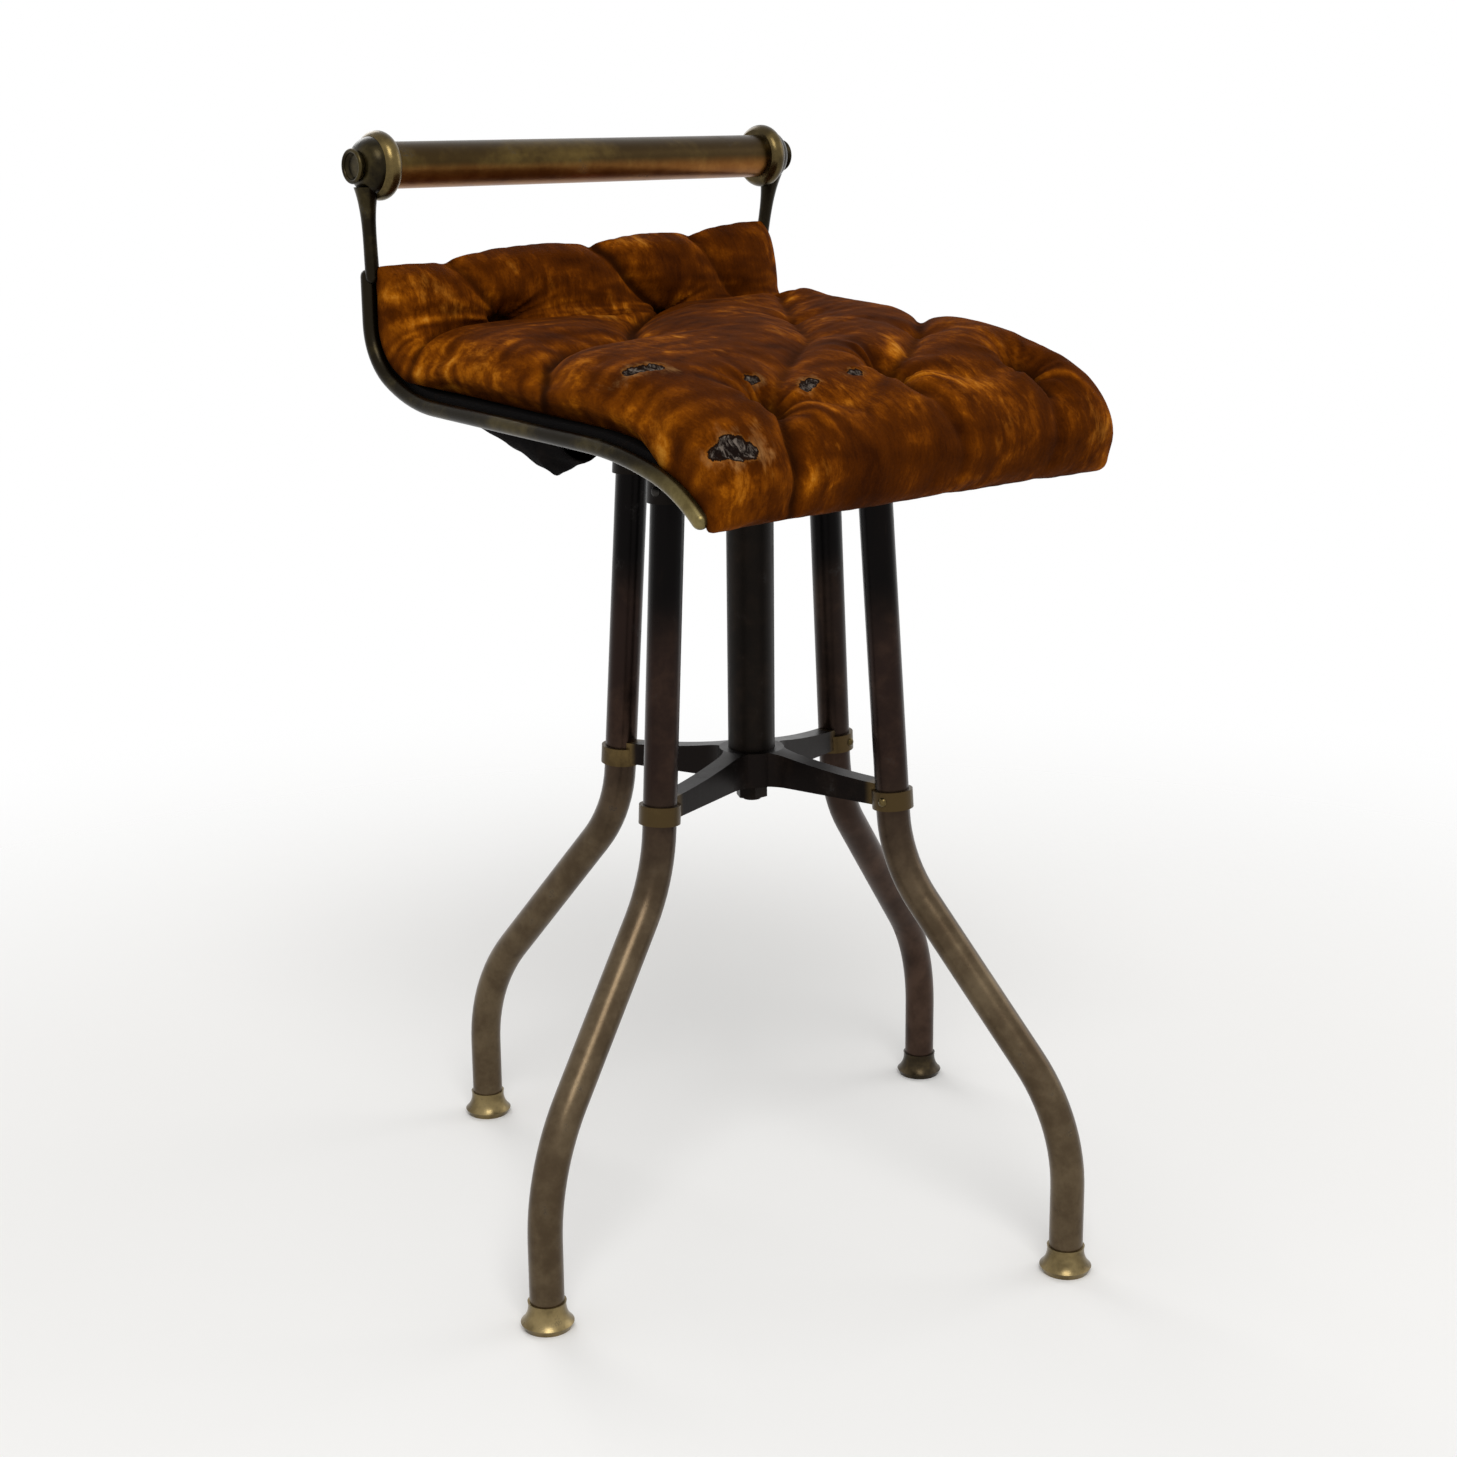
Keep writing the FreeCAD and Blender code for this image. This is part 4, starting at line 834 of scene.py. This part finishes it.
# %% Velvet finish
PILE_STOPS = ((0.12, "311200"), (0.40, "4d2200"), (0.60, "6d3602"), (0.80, "9c5708"),
              (0.98, "c07c24"))
TAN, SHADE, THREAD = "92601f", "1a0800", "8a633a"
TORN_EDGE, TORN_SHADE, WADDING = "a4661e", "1a0e08", ("140d0a", "6a6057")
CLOUD, CRUSH, STRAND, PILE, FIBRE = 20.0, 62.0, 165.0, 620.0, 240.0     # waves in a metre


def crushed_velvet():
    """Worn velvet from the values that are stored in the pad."""
    material, tree, place = start_finish("crushed_velvet")

    def stored(name):
        return tree.node("Attribute", {"attribute_name": name}, out=2)

    nap_and_highlight_value, press, fold_value = stored("nap"), stored("press"), stored("fold")
    hole, thin = stored("bare"), stored("worn")
    cloud = grain(tree, place, CLOUD, 4.0, 0.58, distortion=0.3)
    crush = grain(tree, place, CRUSH, 5.0, 0.66, (1.9, 0.8, 0.8), 0.3)
    strand = grain(tree, place, STRAND, 4.0, 0.68, (2.1, 0.6, 0.6), 0.5)
    pile = grain(tree, place, PILE, 3.0, 0.7)
    streaks = (crush - 0.46) * cloud.step(0.40, 0.64)
    # the nap values bring the painted highlights of the crease lips and side walls into the shine
    shine = (0.35 + nap_and_highlight_value * 0.29 + (cloud - 0.5) * 0.7 + streaks * 1.25
             + (pile - 0.5) * 0.22 + (strand - 0.5) * 0.42)
    stops = [(at, rgb(colour)) for at, colour in PILE_STOPS]
    pile_ramp = tree.node("ValToRGB", {"stops": stops}, {"Fac": shine})
    # Wear and shade
    rubbed = (cloud * 0.55 + crush * 0.45 - press * 0.25).step(0.56, 0.70)
    colour = (rubbed * 0.4).mix(pile_ramp, rgb(TAN))
    # painted shade in the creases and round the stitches
    dark = (press * 0.9 + fold_value * 0.7).step(0.2, 1.0)
    colour = (dark * 0.85).mix(colour, rgb(SHADE))
    # painted shade along the pad's low, turned-under edge
    under = 1.0 - (stored("up") + (crush - 0.5) * 0.3).step(0.04, 0.42)
    colour = (under * 0.6).mix(colour, rgb(SHADE))
    thread = (thin * 0.7 + (crush - 0.5) * 1.5).step(0.42, 0.85) * thin
    colour = (thread * 0.8).mix(colour, rgb(THREAD))
    # Holes, from the frayed edge to the wadding inside
    fibre = grain(tree, place, FIBRE, 4.0, 0.7, (1.6, 0.7, 0.7), 0.8)
    wadding = fibre.step(0.44, 0.66).mix(rgb(WADDING[0]), rgb(WADDING[1]))
    ragged = hole + ((fibre - 0.5) * 1.1 + (crush - 0.5) * 0.5) * hole.step(0.0, 0.2)
    colour = (ragged.step(0.12, 0.26) * 0.15).mix(colour, rgb(TORN_EDGE))
    colour = ragged.step(0.34, 0.48).mix(colour, rgb(TORN_SHADE))
    colour = ragged.step(0.62, 0.90).mix(colour, wadding)
    surface = pile * 0.3 + crush * 0.7
    end_finish(tree, {"Base Color": colour, "Roughness": 0.80 - rubbed * 0.14,
                      "Sheen Weight": 0.04, "Sheen Roughness": 0.35, "Sheen Tint": rgb("d07818"),
                      "Specular IOR Level": 0.02, "Normal": bump(tree, surface, 0.0012, 0.5)})
    return material


finish["velvet"] = crushed_velvet()
pad.data.materials.append(finish["velvet"])
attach(pad, "seat")
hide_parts("seat_pad")
print("velvet pad done")

# %% [markdown]
# ## The lining
# Under the board a dark cloth kept the dust in. It has come away and sags on the left, with a
# ragged edge. A grid of quads is laid under the seat line, hung between its tacks, and its free
# edge is pulled in and out by noise. The right side is made the same way.

# %% Lining
LINING_EDGE = 166.0                  # from the seat's middle to the tacks at the edge, in mm
LINING_REACH = 44.0
LINING_FROM, LINING_TO = 8.0, 120.0  # along the seat line, from where its flat part starts
LINING_SAGS = ((0, 6), (0.35, 17), (0.75, 29), (1, 16))
LINING_CELLS = (22, 48)
LINING_THICKNESS = 0.7 * MM
BOARD_GAP, MOST_SAG = 1.0, 40
RAGGED_EDGE, CRUMPLES = 3.0, 1.6


def lining_finish():
    """Black cloth with dust on it."""
    material, tree, place = start_finish("lining_cloth")
    threads = grain(tree, place, 1400.0, 2.0)
    dust = grain(tree, place, 60.0, 4.0)
    end_finish(tree, {"Base Color": dust.step(0.5, 0.75).mix(rgb("070505"), rgb("15100e")),
                      "Roughness": 0.95, "Specular IOR Level": 0.05,
                      "Normal": bump(tree, threads, 0.0005, 0.5)})
    return material


finish["lining"] = lining_finish()


def hang_lining(name, side, seed):
    """A ragged strip that hangs between the board's edge and a line of tacks."""
    bm = bmesh.new()
    bmesh.ops.create_grid(bm, x_segments=LINING_CELLS[0], y_segments=LINING_CELLS[1], size=0.5)
    grid = np.array([v.co for v in bm.verts])
    a, b = grid[:, 0] + 0.5, grid[:, 1] + 0.5
    s = FLAT_START / MM + LINING_FROM + b * (LINING_TO - LINING_FROM)
    s = s + RAGGED_EDGE * waves(b * 14, seed, a * 2) * np.abs(2 * b - 1) ** 4
    x = LINING_EDGE - a * LINING_REACH
    sag = np.interp(b, *zip(*LINING_SAGS)) * np.sin(np.pi * a) ** 0.8
    crumple = CRUMPLES * waves(a * 5, b * 9, seed + 3) * np.sin(np.pi * a)
    drop = BOARD_GAP + np.clip(sag + crumple, 0, MOST_SAG)
    spots = seat_places(side * x * MM, s * MM, -drop * MM)
    for vert, place in zip(bm.verts, spots):
        vert.co = place
    bmesh.ops.recalc_face_normals(bm, faces=bm.faces)
    area = sum(f.calc_area() for f in bm.faces)
    mesh = bpy.data.meshes.new(name)
    bm.to_mesh(mesh)
    bm.free()
    piece = bpy.data.objects.new(name, mesh)
    bpy.context.scene.collection.objects.link(piece)
    thick = piece.modifiers.new("thickness", "SOLIDIFY")
    thick.thickness = LINING_THICKNESS
    thick.offset = 0.0
    mesh.materials.append(finish["lining"])
    mesh.polygons.foreach_set("use_smooth", np.ones(len(mesh.polygons), bool))
    return piece, area


for side, word, seed in ((-1, "left", 2.0), (1, "right", 11.0)):
    cloth, area = hang_lining("sagging_lining_" + word, side, seed)
    length = (LINING_TO - LINING_FROM) * MM
    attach(cloth, "seat")
    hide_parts("lining_" + word)
    area / length
    print(cloth.name, "flat %.0f x %.0f mm" % (area / length / MM, length / MM))
